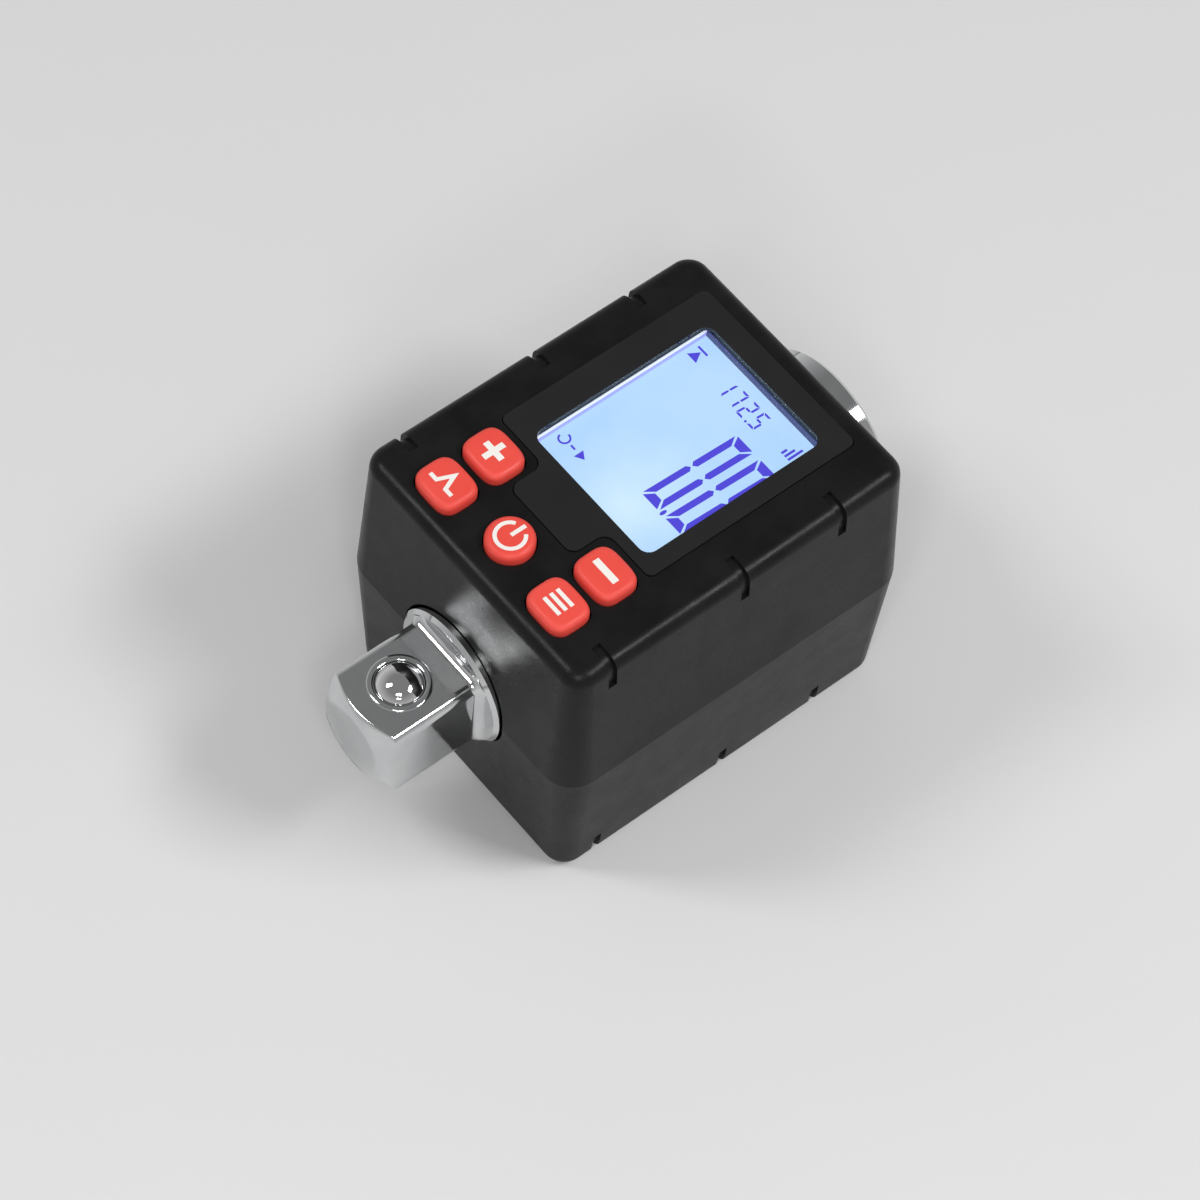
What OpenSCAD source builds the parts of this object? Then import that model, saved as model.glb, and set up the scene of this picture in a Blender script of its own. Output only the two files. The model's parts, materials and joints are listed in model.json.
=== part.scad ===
// Digital torque adapter: a square drive shaft with strain gauges, clamped between two
// moulded shells that also carry a display, five keys, a board and two small cells.
// Shaft frame: x = 0 at the front wall, +x towards the socket, z = 0 on the shaft axis.

/* [Drive shaft] */
// Width across the flats of the square drive
drive_size = 12.7; // [11.8:0.1:13.3]
// Reach of the square drive beyond the case
drive_reach = 15.5; // [14.5:0.1:18]
// Radius of the square's long edges
drive_edge_r = 1.25; // [0.8:0.05:1.5]
// Diameter of the turned face at the tip
tip_face_d = 11.2; // [10:0.1:12]
// Run of the tip's cone per unit of radius
tip_run_share = 0.6; // [0.4:0.05:0.9]
// Diameter of the collar behind the square
collar_d = 19.2; // [18.8:0.1:19.8]
// Stand of the collar's face out of the case
collar_stand = 0.7; // [0.4:0.1:1.2]
// Radius of the coves where the flats meet the collar
cove_r = 1.3; // [0.8:0.1:1.5]
// Diameter of the gauge section inside
gauge_d = 14; // [13:0.1:15]
// Diameter of the socket body
socket_d = 24.1; // [23.4:0.1:24.5]
// Stand of the socket out of the case
socket_stand = 6; // [4:0.5:9]
// Depth of the square socket
socket_depth = 16.6; // [14:0.1:17.5]
// Room between the socket and a square drive of the same size
socket_play = 0.1; // [0.05:0.01:0.3]

/* [Detent] */
// Diameter of the detent ball
ball_d = 6; // [5:0.1:6.4]
// Stand of the ball out of the flat
ball_stand = 0.9; // [0.5:0.05:1.2]
// Distance of the ball's centre from the tip
ball_setback = 7.1; // [6.2:0.1:8]
// Running clearance round the ball
ball_clear = 0.06; // [0.03:0.01:0.1]
// Width of the staked ring round the ball
stake_w = 0.9; // [0.5:0.05:1.1]
// Height of the staked ring
stake_h = 0.22; // [0.1:0.01:0.4]

/* [Case] */
// Length of the case at the parting line
case_len = 55.5; // [54.8:0.1:60]
// Width of the case at the parting line
case_width = 45; // [44.5:0.1:50]
// Height of the top face over the shaft axis
case_top = 22.7; // [22.4:0.1:25]
// Depth of the base below the shaft axis
case_base = 22.7; // [22.5:0.1:25]
// Inward lean of the side walls in degrees
draft = 3.7; // [2:0.1:4]
// Radius of the upright corners at the parting line
corner_r = 4.4; // [4.2:0.1:6]
// Radius along the top and bottom edges
edge_r = 2; // [1.2:0.1:2.2]
// Thickness of the walls
wall = 2; // [1.6:0.1:2.1]
// Thickness of the roof
roof = 2.2; // [1.9:0.1:2.4]
// Width of the grip slots across the long edges
slot_w = 1.3; // [0.8:0.1:2]
// Depth of the grip slots
slot_deep = 0.5; // [0.3:0.05:0.8]

/* [Display] */
// Length of the clear window, along the shaft
window_len = 27.9; // [26:0.1:28.5]
// Width of the clear window
window_width = 22.2; // [20:0.1:23]
// Distance of the window's front edge from the front wall
window_front = 19.9; // [19.8:0.1:20.4]
// Shift of the window's middle to the near side
window_shift = 0.5; // [0:0.1:1]
// Thickness of the face plate
plate_t = 0.95; // [0.7:0.05:1.2]
// Stand of the face plate out of the top
plate_stand = 0.15; // [0:0.05:0.4]

/* [Keys] */
// Size of the moulded keys along the shaft
key_len = 6; // [5:0.1:6.2]
// Size of the moulded keys across the shaft
key_width = 7.2; // [6:0.1:7.6]
// Diameter of the round power key
power_d = 6.4; // [5.4:0.1:7]
// Stand of the keys out of the top
key_stand = 1.5; // [1:0.1:2]
// Travel of the keys
key_travel = 0.8; // [0.4:0.1:0.9]
// Gap round the keys
key_gap = 0.2; // [0.1:0.05:0.3]

/* [Cells] */
// Diameter of a cell
cell_d = 10.5; // [10:0.1:10.6]
// Length of a cell with its button
cell_len = 44.5; // [43.5:0.1:44.8]

/* [Hidden] */
$fn = 96;
overrun = 1;
arc_steps = 6;
key_sides = 32;
lean = tan(draft);

// Shaft stations, from the front wall back
tip_x = -drive_reach;
ball_x = tip_x + ball_setback;
collar_r = collar_d / 2;
socket_r = socket_d / 2;
gauge_r = gauge_d / 2;
socket_x = case_len + socket_stand;
hole_gap = 0.3;
seal_w = 1.5;
seal_t = 1.6;
seal_gap = 0.05;
rib_t = 1.2;
seat = 0.1;
front_seal_x = wall + lean * (collar_r + seal_t) + seat;
front_rib_x = front_seal_x + seal_w + seat;
key_rib_x = front_rib_x + rib_t + 0.6 * rib_t;
key_rib_t = 2 * rib_t;
grip_x = key_rib_x - seat;
grip_len = key_rib_t + 2 * seat;
grip_size = 17;
cone_len = 2;
gauge_x = grip_x + grip_len + cone_len;
rear_seal_w = 1.4;
rear_seal_t = 0.7;
rear_seal_x = case_len - wall - lean * (socket_r + rear_seal_t) - seat - rear_seal_w;
rear_rib_x = rear_seal_x - seat - rib_t;
body_x = socket_x - socket_depth - cone_len;
relief_x = body_x - cone_len;
socket_size = drive_size + socket_play;
socket_edge_r = 0.6;
rim = 0.5;
flat_half = drive_size / 2;
gauge_flat_deep = 0.5;
gauge_flat = gauge_r - gauge_flat_deep;

// Detent
ball_r = ball_d / 2;
ball_z = flat_half + ball_stand - ball_r;
ball_hole_r = ball_r + ball_clear;
lip_share = 0.53;
lip_z = ball_z + lip_share * ball_r;
lip_r = sqrt(pow(ball_r, 2) - pow(lip_z - ball_z, 2)) + ball_clear;
lip_band = 0.1;
stake_gap = 0.15;
stake_r = ball_r + stake_gap;
spring_wire = 0.5;
spring_r = ball_r - 2 * spring_wire;
spring_len = 4.2;
spring_turns = 5;
ball_seat_z = ball_z - sqrt(pow(ball_r, 2) - pow(spring_r, 2)) - spring_wire / 2 - ball_clear;
spring_z = ball_seat_z - spring_len;

// Levels of the case and of what is stacked under its roof
pocket_z = case_top + plate_stand - plate_t;
ceiling = case_top - roof;
lcd_t = 2;
backlight_t = 3;
backlight_leg = 1;
board_t = 1.6;
board_top = ceiling - lcd_t - backlight_t - backlight_leg;
board_base = board_top - board_t;
small_head_t = 1.1;
head_gap = 0.2;
rib_top = board_base - small_head_t - head_gap;

// Plan of the display
window_rear = window_front + window_len;
window_y = [-window_width / 2 - window_shift, window_width / 2 - window_shift];
window_r = 1.5;
lens_lip = 0.9;
lens_lip_t = 0.35;
roof_margin = 0.5;
glass_front_margin = 1;
glass_rear_margin = 2.6;
glass_side_margin = 1.8;
glass_x = [window_front - glass_front_margin, window_rear + glass_rear_margin];
glass_y = [window_y[0] - glass_side_margin, window_y[1] + glass_side_margin];
frame_t = 0.8;
zebra_w = 1.8;
zebra_inset = 0.3;

// Plan of the face plate
plate_front_margin = 1.7;
plate_rear_margin = 3.3;
plate_near_margin = 2.65;
plate_far_margin = 4.4;
tab_len = 5.4;
tab_near = 6;
tab_far = 6.3;
plate_gap = 0.05;
plate_x = [window_front - plate_front_margin, window_rear + plate_rear_margin];
plate_y = [window_y[0] - plate_near_margin, window_y[1] + plate_far_margin];
tab_x = plate_x[0] - tab_len;
tab_y = [-tab_near, tab_far];
plate_r = 1;
tab_r = 1.4;
notch_r = 1.6;

// Plan of the keys, measured from the front wall and the shaft's middle
flange_w = 0.3;
key_wall_gap = 0.17;
key_split = 1.25;
key_row_front = wall + lean * ceiling + key_wall_gap + flange_w + key_len / 2;
key_row_x = [key_row_front, key_row_front + key_len + key_split];
key_row_y = 10.85;
power_x = 8.05;
flange_t = 0.8;
flange_gap = 0.05;
key_waist = 0.3;
key_round = 0.9;
squircle = 3.6;
mat_t = 0.8;
web_h = 1.9;
web_t = 0.35;
web_base_r = 2.7;
web_top_r = 2.1;
pill_r = 1.5;
pill_gap = 0.05;
mat_margin = 0.3;
mat_x = [key_row_x[0] - key_len / 2 - mat_margin, key_row_x[1] + key_len / 2 + mat_margin];
mat_half = key_row_y + key_width / 2 + mat_margin;

// Board
board_gap = 0.35;
board_in = wall + lean * board_top + board_gap;
board_x = [board_in, case_len - board_in];
board_half = case_width / 2 - board_in;
post_r = 1.9;
post_gap = 0.6;
post_x = [window_front + post_gap, window_rear + post_gap];
post_y = frame_t + post_r + post_gap - glass_y[0];
small_screw_r = 0.8;
small_head_r = 1.7;
small_screw_len = 5;

// Parts on the board: place as shares of the case length and of the board's half width,
// and length, width and height as shares of one package
chip_size = 5;
chip_shares = [[0.53, -0.4, 1.4, 1.4, 0.24], [0.37, 0.32, 1, 0.8, 0.3], [0.68, 0.46, 0.6, 1.2, 0.28],
    [0.3, -0.43, 0.64, 0.32, 0.2]];
buzzer_r = 4.5;
buzzer_h = 4;
plug_len = 3;
plug_width = 6;
plug_h = 2;
flex_t = 0.2;
flex_w = 4;
foil_len = 10;
foil_w = 5;
foil_t = 0.15;
foil_mid = (gauge_x + relief_x) / 2;
plug_x = foil_mid - foil_len;

// Case screws
boss_r = 3.1;
boss_gap = 0.3;
boss_x = [key_rib_x + key_rib_t / 2, rear_rib_x - boss_r / 2];
boss_y = case_width / 2 - wall - boss_r - boss_gap;
screw_r = 1.3;
screw_play = 0.03;
screw_free = 0.3;
head_r = 2.5;
head_t = 1.8;
head_deep = 2.2;
screw_grip = 8;
screw_end_gap = 0.5;

// Grip slots
slot_reach = 4.85;
slot_drop = 4.5;
slot_front = 7.1;
slot_rear = 12.3;
slot_x = [slot_front, case_len / 2, case_len - slot_rear];

// Cells
door_t = 1.6;
cell_r = cell_d / 2;
cell_split = 3.05;
cell_gap = 0.25;
cell_y = cell_r + cell_split;
cell_z = door_t + cell_gap + cell_r - case_base;
plate_size = 8;
contact_t = 0.3;
bay_front = wall + lean * (plate_size / 2 - cell_z) + seat;
cell_x = bay_front + contact_t + seat;
button_len = 0.9;
button_r = 1.9;
bay_gap = 0.2;
bay_rear = rear_rib_x - bay_gap;
bay_clear = 0.3;
bay_half = cell_y + cell_r + 2 * bay_clear;
bay_wall = 1.2;
wire_r = 0.45;
wire_x = bay_front + wire_r + seal_gap;
wire_y = cell_y + plate_size / 2 - wire_r;
bat_spring_wire = 0.5;
bat_spring_turns = 3;
bat_spring_r = [1.8, 3.4];

// Battery door
door_margin = 0.6;
door_x = [corner_r, case_len - corner_r + door_margin];
door_half = bay_half - door_margin;
door_gap = 0.15;
door_ledge = 0.8;
door_r = 2;
door_boss_inset = 1.6;
door_screw_x = bay_rear - door_boss_inset;
door_boss_r = 2.3;
door_head_r = 1.9;
door_head_t = 0.7;
door_screw_r = 1.1;
door_screw_len = 6;
door_boss_cap = 0.5;
door_boss_top = -case_base + door_screw_len + door_boss_cap;
grip_count = 5;
grip_pitch = 2;
grip_w = 1;
grip_half = 6;
grip_deep = 0.3;
grip_inset = 3;

// Whole part in its own frame: middle of the length, and the base on the ground
mid_x = (tip_x + socket_x) / 2;
module in_row() { translate([-mid_x, 0, case_base]) children(); }

// Points of an arc round c
function arc(c, r, a0, a1, n) = [for (i = [0:n]) let (a = a0 + (a1 - a0) * i / n) c + r * [cos(a), sin(a)]];
function unit(v) = v / norm(v);
function turn(a) = a > 180 ? a - 360 : a < -180 ? a + 360 : a;
// Arc that rounds the corner p1 between p0 and p2
function corner_arc(p0, p1, p2, r, n) =
    let (u = unit(p0 - p1), v = unit(p2 - p1), half = acos(u * v) / 2,
         c = p1 + unit(u + v) * r / sin(half), s = p1 + u * r / tan(half), e = p1 + v * r / tan(half),
         a0 = atan2(s.y - c.y, s.x - c.x), a1 = atan2(e.y - c.y, e.x - c.x))
    arc(c, r, a0, a0 + turn(a1 - a0), n);
function rounded(p, r, n = arc_steps) =
    let (m = len(p)) [for (i = [0:m - 1]) each corner_arc(p[(i + m - 1) % m], p[i], p[(i + 1) % m], r[i], n)];
function rect(x, y) = [[x[0], y[0]], [x[1], y[0]], [x[1], y[1]], [x[0], y[1]]];
function same(r) = [r, r, r, r];
function mirrored(p) = [for (i = [len(p) - 1:-1:0]) [-p[i].x, p[i].y]];
function shifted(p, d) = [for (q = p) [q.x + d, q.y]];

// Side of a case block: leaning wall and a rounded or sharp top edge, out from an upright axis
function side_points(r, high, edge, down) =
    let (zc = high - edge, xc = r - lean * zc - edge * sqrt(1 + lean * lean))
    concat([[r + lean * down, -down]], edge > 0 ? arc([xc, zc], edge, draft, 90, arc_steps) : [[xc, zc]]);

// Block of the case's plan, drawn in by inset at the sides and by drop at the top
module case_block(high, inset, drop, edge, down = 0) {
    side = side_points(corner_r - inset, high - drop, edge, down);
    spine = concat([[0, -down]], side, [[0, high - drop]]);
    x = [corner_r, case_len - corner_r];
    y = case_width / 2 - corner_r;
    translate([0, y, 0]) rotate([90, 0, 0]) linear_extrude(2 * y)
        polygon(concat(shifted(side, x[1]), shifted(mirrored(side), x[0])));
    translate([x[0], 0, 0]) rotate([90, 0, 90]) linear_extrude(x[1] - x[0])
        polygon(concat(shifted(side, y), shifted(mirrored(side), -y)));
    for (i = [0, 1], j = [0, 1])
        translate([x[i], (2 * j - 1) * y, 0]) rotate([0, 0, i == 1 ? (j - 1) * 90 : 90 + (1 - j) * 90])
            rotate_extrude(angle = 90) polygon(spine);
}

module box(x, y, z) { translate([x[0], y[0], z[0]]) cube([x[1] - x[0], y[1] - y[0], z[1] - z[0]]); }
module slab(points, z) { translate([0, 0, z[0]]) linear_extrude(z[1] - z[0]) polygon(points); }
module rod(x, r) { translate([x[0], 0, 0]) rotate([0, 90, 0]) cylinder(h = x[1] - x[0], r = r); }
module cone(x, r) {
    translate([x[0], 0, 0]) rotate([0, 90, 0]) cylinder(h = x[1] - x[0], r1 = r[0], r2 = r[1]);
}
module post(x, y, z, r) { translate([x, y, z[0]]) cylinder(h = z[1] - z[0], r = r); }
module square_bar(x, size, r) {
    translate([x[0], 0, 0]) rotate([90, 0, 90]) linear_extrude(x[1] - x[0])
        polygon(rounded(rect([-size / 2, size / 2], [-size / 2, size / 2]), same(r)));
}

// Openings that both shells share round the shaft
module shaft_clear() {
    rod([-overrun, grip_x], collar_r + hole_gap);
    rod([front_seal_x - seat, front_rib_x], collar_r + seal_t + seal_gap);
    square_bar([key_rib_x - overrun, key_rib_x + key_rib_t + overrun], grip_size + 2 * seat, drive_edge_r);
    rod([grip_x + grip_len + seat, rear_rib_x], socket_r + hole_gap);
    rod([rear_rib_x - overrun, case_len + overrun], socket_r + hole_gap);
    rod([rear_seal_x - seat, rear_seal_x + rear_seal_w + seat], socket_r + rear_seal_t + seal_gap);
}

// Ribs that hold the shaft and its seals, from the parting plane to z
module shaft_ribs(z) {
    for (s = [[front_rib_x, rib_t], [key_rib_x, key_rib_t], [rear_rib_x, rear_seal_w + rib_t + 2 * seat]])
        box([s[0], s[0] + s[1]], [-case_width / 2, case_width / 2], z);
}

module grip_slots(high) {
    difference() {
        for (x = slot_x, s = [0, 1]) mirror([0, s, 0])
            box([x - slot_w / 2, x + slot_w / 2], [case_width / 2 - slot_reach, case_width],
                [high - slot_drop, high + overrun]);
        case_block(high, slot_deep, slot_deep, edge_r);
    }
}

// Outline of a moulded key, drawn in by d
function bent(v) = sign(v) * pow(abs(v), 2 / squircle);
function key_points(d, n = key_sides) = [for (i = [0:n - 1])
    [bent(cos(360 * i / n)) * (key_len / 2 - d), bent(sin(360 * i / n)) * (key_width / 2 - d)]];

module key_places() {
    for (x = key_row_x, y = [-key_row_y, key_row_y]) translate([x, y, 0]) children();
}

module upper_housing() {
    color([0.1, 0.1, 0.11]) in_row() difference() {
        union() {
            difference() {
                case_block(case_top, 0, 0, edge_r);
                case_block(case_top, wall, roof, 0, overrun);
            }
            intersection() {
                case_block(case_top, wall / 2, roof / 2, 0);
                union() {
                    shaft_ribs([0, rib_top]);
                    for (x = boss_x, s = [-1, 1]) {
                        post(x, s * boss_y, [0, rib_top], boss_r);
                        mirror([0, (1 - s) / 2, 0]) box([x - boss_r / 2, x + boss_r / 2],
                            [boss_y, case_width / 2], [0, rib_top]);
                    }
                    for (x = post_x, s = [-1, 1]) post(x, s * post_y, [board_top, case_top], post_r);
                }
            }
        }
        shaft_clear();
        slab(plate_outline(plate_gap), [pocket_z, case_top + overrun]);
        slab(window_outline(roof_margin), [ceiling - overrun, case_top]);
        key_places() slab(key_points(-key_gap), [ceiling - overrun, case_top + overrun]);
        post(power_x, 0, [ceiling - overrun, case_top + overrun], power_d / 2 + key_gap);
        for (x = boss_x, s = [-1, 1])
            post(x, s * boss_y, [-overrun, screw_grip + screw_end_gap], screw_r + screw_play);
        for (x = post_x, s = [-1, 1])
            post(x, s * post_y, [board_top - overrun, board_top + small_screw_len - board_t + seat],
                small_screw_r + screw_play);
        grip_slots(case_top);
    }
}

module cell_bay() {
    box([bay_front, bay_rear], [-bay_half, bay_half], [-(case_base - door_t), cell_z]);
    for (s = [-1, 1]) translate([0, s * cell_y, cell_z]) rod([bay_front, bay_rear], cell_r + bay_clear);
}

module lower_housing() {
    floor_z = -(case_base - door_t);
    color([0.1, 0.1, 0.11]) in_row() difference() {
        union() {
            difference() {
                mirror([0, 0, 1]) case_block(case_base, 0, 0, edge_r);
                mirror([0, 0, 1]) case_block(case_base, wall, door_t, 0, overrun);
            }
            intersection() {
                mirror([0, 0, 1]) case_block(case_base, wall / 2, door_t / 2, 0);
                difference() {
                    union() {
                        shaft_ribs([-case_base, 0]);
                        for (x = boss_x, s = [-1, 1]) {
                            post(x, s * boss_y, [-case_base, 0], boss_r);
                            mirror([0, (1 - s) / 2, 0]) box([x - boss_r / 2, x + boss_r / 2],
                                [boss_y, case_width / 2], [-case_base, 0]);
                        }
                        box([0, bay_rear + bay_wall], [-bay_half - bay_wall, bay_half + bay_wall],
                            [floor_z - overrun, cell_z + cell_r]);
                    }
                    difference() {
                        cell_bay();
                        difference() {
                            post(door_screw_x, 0, [-case_base, door_boss_top], door_boss_r);
                            box([bay_rear - contact_t - seat, bay_rear],
                                [-door_boss_r - seat, door_boss_r + seat],
                                [cell_z - plate_size / 2 - seat, cell_z]);
                        }
                    }
                }
            }
        }
        shaft_clear();
        for (x = boss_x, s = [-1, 1]) {
            post(x, s * boss_y, [-case_base - overrun, overrun], screw_r + screw_free);
            post(x, s * boss_y, [-case_base - overrun, -case_base + head_deep], head_r + screw_free);
        }
        difference() {
            slab(rounded(rect([door_x[0] + door_ledge, door_x[1] - door_ledge],
                [-door_half + door_ledge, door_half - door_ledge]), same(door_r)),
                [-case_base - overrun, floor_z + overrun]);
            post(door_screw_x, 0, [-case_base + door_t / 2, door_boss_top], door_boss_r);
        }
        slab(rounded(rect([door_x[0] - door_gap, door_x[1] + door_gap],
            [-door_half - door_gap, door_half + door_gap]), same(door_r)),
            [-case_base - overrun, -case_base + door_t / 2]);
        post(door_screw_x, 0, [-case_base, -case_base + door_screw_len + seat], door_screw_r + screw_play);
        for (s = [-1, 1]) post(wire_x, s * wire_y, [cell_z, overrun], wire_r + door_gap);
        mirror([0, 0, 1]) grip_slots(case_base);
    }
}

// Outline of the clear window, drawn out by d
function window_outline(d) =
    rounded(rect([window_front - d, window_rear + d], [window_y[0] - d, window_y[1] + d]),
        same(window_r + d));

// Outline of the face plate: a panel with a tab between the two rows of keys
function plate_outline(d) = rounded(
    [[plate_x[0] - d, tab_y[1] + d], [plate_x[0] - d, plate_y[1] + d], [plate_x[1] + d, plate_y[1] + d],
     [plate_x[1] + d, plate_y[0] - d], [plate_x[0] - d, plate_y[0] - d], [plate_x[0] - d, tab_y[0] - d],
     [tab_x - d, tab_y[0] - d], [tab_x - d, tab_y[1] + d]],
    [notch_r, plate_r, plate_r, plate_r, plate_r, notch_r, tab_r, tab_r]);

module face_plate() {
    color([0.02, 0.02, 0.025]) in_row() difference() {
        slab(plate_outline(-plate_gap), [pocket_z, pocket_z + plate_t]);
        slab(window_outline(0), [pocket_z - overrun, case_top + overrun]);
        slab(window_outline(lens_lip), [pocket_z - overrun, pocket_z + lens_lip_t]);
    }
}

module display_lens() {
    color([0.75, 0.85, 1, 0.4]) in_row() union() {
        slab(window_outline(-plate_gap), [pocket_z, pocket_z + plate_t]);
        slab(window_outline(lens_lip - plate_gap), [pocket_z, pocket_z + lens_lip_t]);
    }
}

module lcd_glass() {
    color([0.7, 0.84, 1]) in_row() union() {
        box([glass_x[0], glass_x[1] - glass_rear_margin / 2], glass_y, [ceiling - lcd_t / 2, ceiling]);
        box(glass_x, glass_y, [ceiling - lcd_t, ceiling - lcd_t / 2]);
    }
}

module backlight() {
    color([0.95, 0.97, 1]) in_row() union() {
        box([glass_x[0], window_rear], glass_y, [board_top + backlight_leg, ceiling - lcd_t]);
        for (s = [0, 1])
            box([glass_x[0], window_rear],
                [glass_y[s] - s * backlight_leg, glass_y[s] + (1 - s) * backlight_leg],
                [board_top, board_top + backlight_leg]);
    }
}

module zebra_strip() {
    rear = glass_x[1] - zebra_inset;
    color([0.8, 0.35, 0.4]) in_row()
        box([rear - zebra_w, rear], [glass_y[0] + zebra_inset, glass_y[1] - zebra_inset],
            [board_top, ceiling - lcd_t]);
}

module lcd_frame() {
    gap = seat;
    color([0.15, 0.15, 0.15]) in_row() difference() {
        slab(rounded(rect([glass_x[0] - frame_t - gap, glass_x[1] + frame_t + gap],
            [glass_y[0] - frame_t - gap, glass_y[1] + frame_t + gap]), same(frame_t)),
            [board_top, ceiling - 2 * gap]);
        box([glass_x[0] - gap, glass_x[1] + gap], [glass_y[0] - gap, glass_y[1] + gap],
            [board_top - overrun, ceiling]);
    }
}

module circuit_board() {
    color([0.05, 0.35, 0.2]) in_row() difference() {
        slab(rounded(rect(board_x, [-board_half, board_half]), same(door_r)), [board_base, board_top]);
        for (x = post_x, s = [-1, 1])
            post(x, s * post_y, [board_base - overrun, board_top + overrun], small_screw_r + screw_free);
    }
}

module chips() {
    color([0.12, 0.12, 0.13]) in_row() for (c = chip_shares) {
        x = c[0] * case_len;
        y = c[1] * board_half;
        box([x - c[2] * chip_size / 2, x + c[2] * chip_size / 2],
            [y - c[3] * chip_size / 2, y + c[3] * chip_size / 2],
            [board_base - c[4] * chip_size, board_base]);
    }
}

module buzzer() {
    color([0.08, 0.08, 0.08]) in_row()
        post(case_len / 2, board_half - buzzer_r - board_gap, [board_base - buzzer_h, board_base], buzzer_r);
}

module flex_connector() {
    color([0.9, 0.88, 0.8]) in_row()
        box([plug_x, plug_x + plug_len], [-plug_width / 2, plug_width / 2],
            [board_base - plug_h, board_base]);
}

// Moulded key as one stack of rings: height over the board and how far each ring is drawn in
module key_body() {
    top = case_top + key_stand;
    rings = [
        [board_top + mat_t + web_h, key_waist], [ceiling - flange_gap - flange_t, key_waist],
        [ceiling - flange_gap - flange_t, -flange_w], [ceiling - flange_gap, -flange_w],
        [ceiling - flange_gap, 0], [top - key_round, key_round * 0.08],
        [top - key_round * 0.5, key_round * 0.22], [top - key_round * 0.18, key_round * 0.55],
        [top, key_round * 1.3],
    ];
    n = key_sides;
    m = len(rings);
    points = [for (r = rings) for (p = key_points(r[1])) [p.x, p.y, r[0]]];
    sides = [for (k = [0:m - 2], i = [0:n - 1]) each
        let (a = k * n + i, b = k * n + (i + 1) % n) [[a, b + n, b], [a, a + n, b + n]]];
    ends = [[for (i = [0:n - 1]) i], [for (i = [n - 1:-1:0]) (m - 1) * n + i]];
    polyhedron(points, concat(sides, ends));
    post(0, 0, [board_top + pill_gap + key_travel, board_top + mat_t + web_h], pill_r);
}

module moulded_key(x, y) {
    color([0.85, 0.27, 0.22]) in_row() translate([x, y, 0]) key_body();
}

module key_power() {
    top = case_top + key_stand;
    r = power_d / 2;
    color([0.85, 0.27, 0.22]) in_row() translate([power_x, 0, 0]) rotate_extrude() polygon(concat(
        [[0, board_top + pill_gap + key_travel], [pill_r, board_top + pill_gap + key_travel],
         [pill_r, board_top + mat_t + web_h], [r - key_waist, board_top + mat_t + web_h],
         [r - key_waist, ceiling - flange_gap - flange_t], [r + flange_w, ceiling - flange_gap - flange_t],
         [r + flange_w, ceiling - flange_gap], [r, ceiling - flange_gap]],
        arc([r - key_round, top - key_round], key_round, 0, 90, arc_steps), [[0, top]]));
}

// Thin cone of the keypad that a key bends when it is pressed
module web(x, y) {
    z = board_top + mat_t;
    color([0.75, 0.2, 0.18]) in_row() translate([x, y, 0]) rotate_extrude() polygon([
        [web_base_r - web_t, z], [web_base_r, z], [web_top_r, z + web_h], [web_top_r - web_t, z + web_h]]);
}

module keypad_mat() {
    color([0.75, 0.2, 0.18]) in_row() difference() {
        slab(rounded(rect(mat_x, [-mat_half, mat_half]), same(door_r)), [board_top, board_top + mat_t]);
        key_places() post(0, 0, [board_top - overrun, board_top + mat_t + overrun], web_base_r - web_t);
        post(power_x, 0, [board_top - overrun, board_top + mat_t + overrun], web_base_r - web_t);
    }
}

// Low rounded ring of metal staked over the ball's edge
module stake_ring() {
    mid = stake_r + stake_w / 2;
    bulge = (pow(stake_w / 2, 2) + pow(stake_h, 2)) / (2 * stake_h);
    translate([ball_x, 0, flat_half]) rotate_extrude() intersection() {
        translate([mid, stake_h - bulge]) circle(r = bulge);
        translate([mid - stake_w, -stake_h]) square([2 * stake_w, stake_w]);
    }
}

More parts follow.
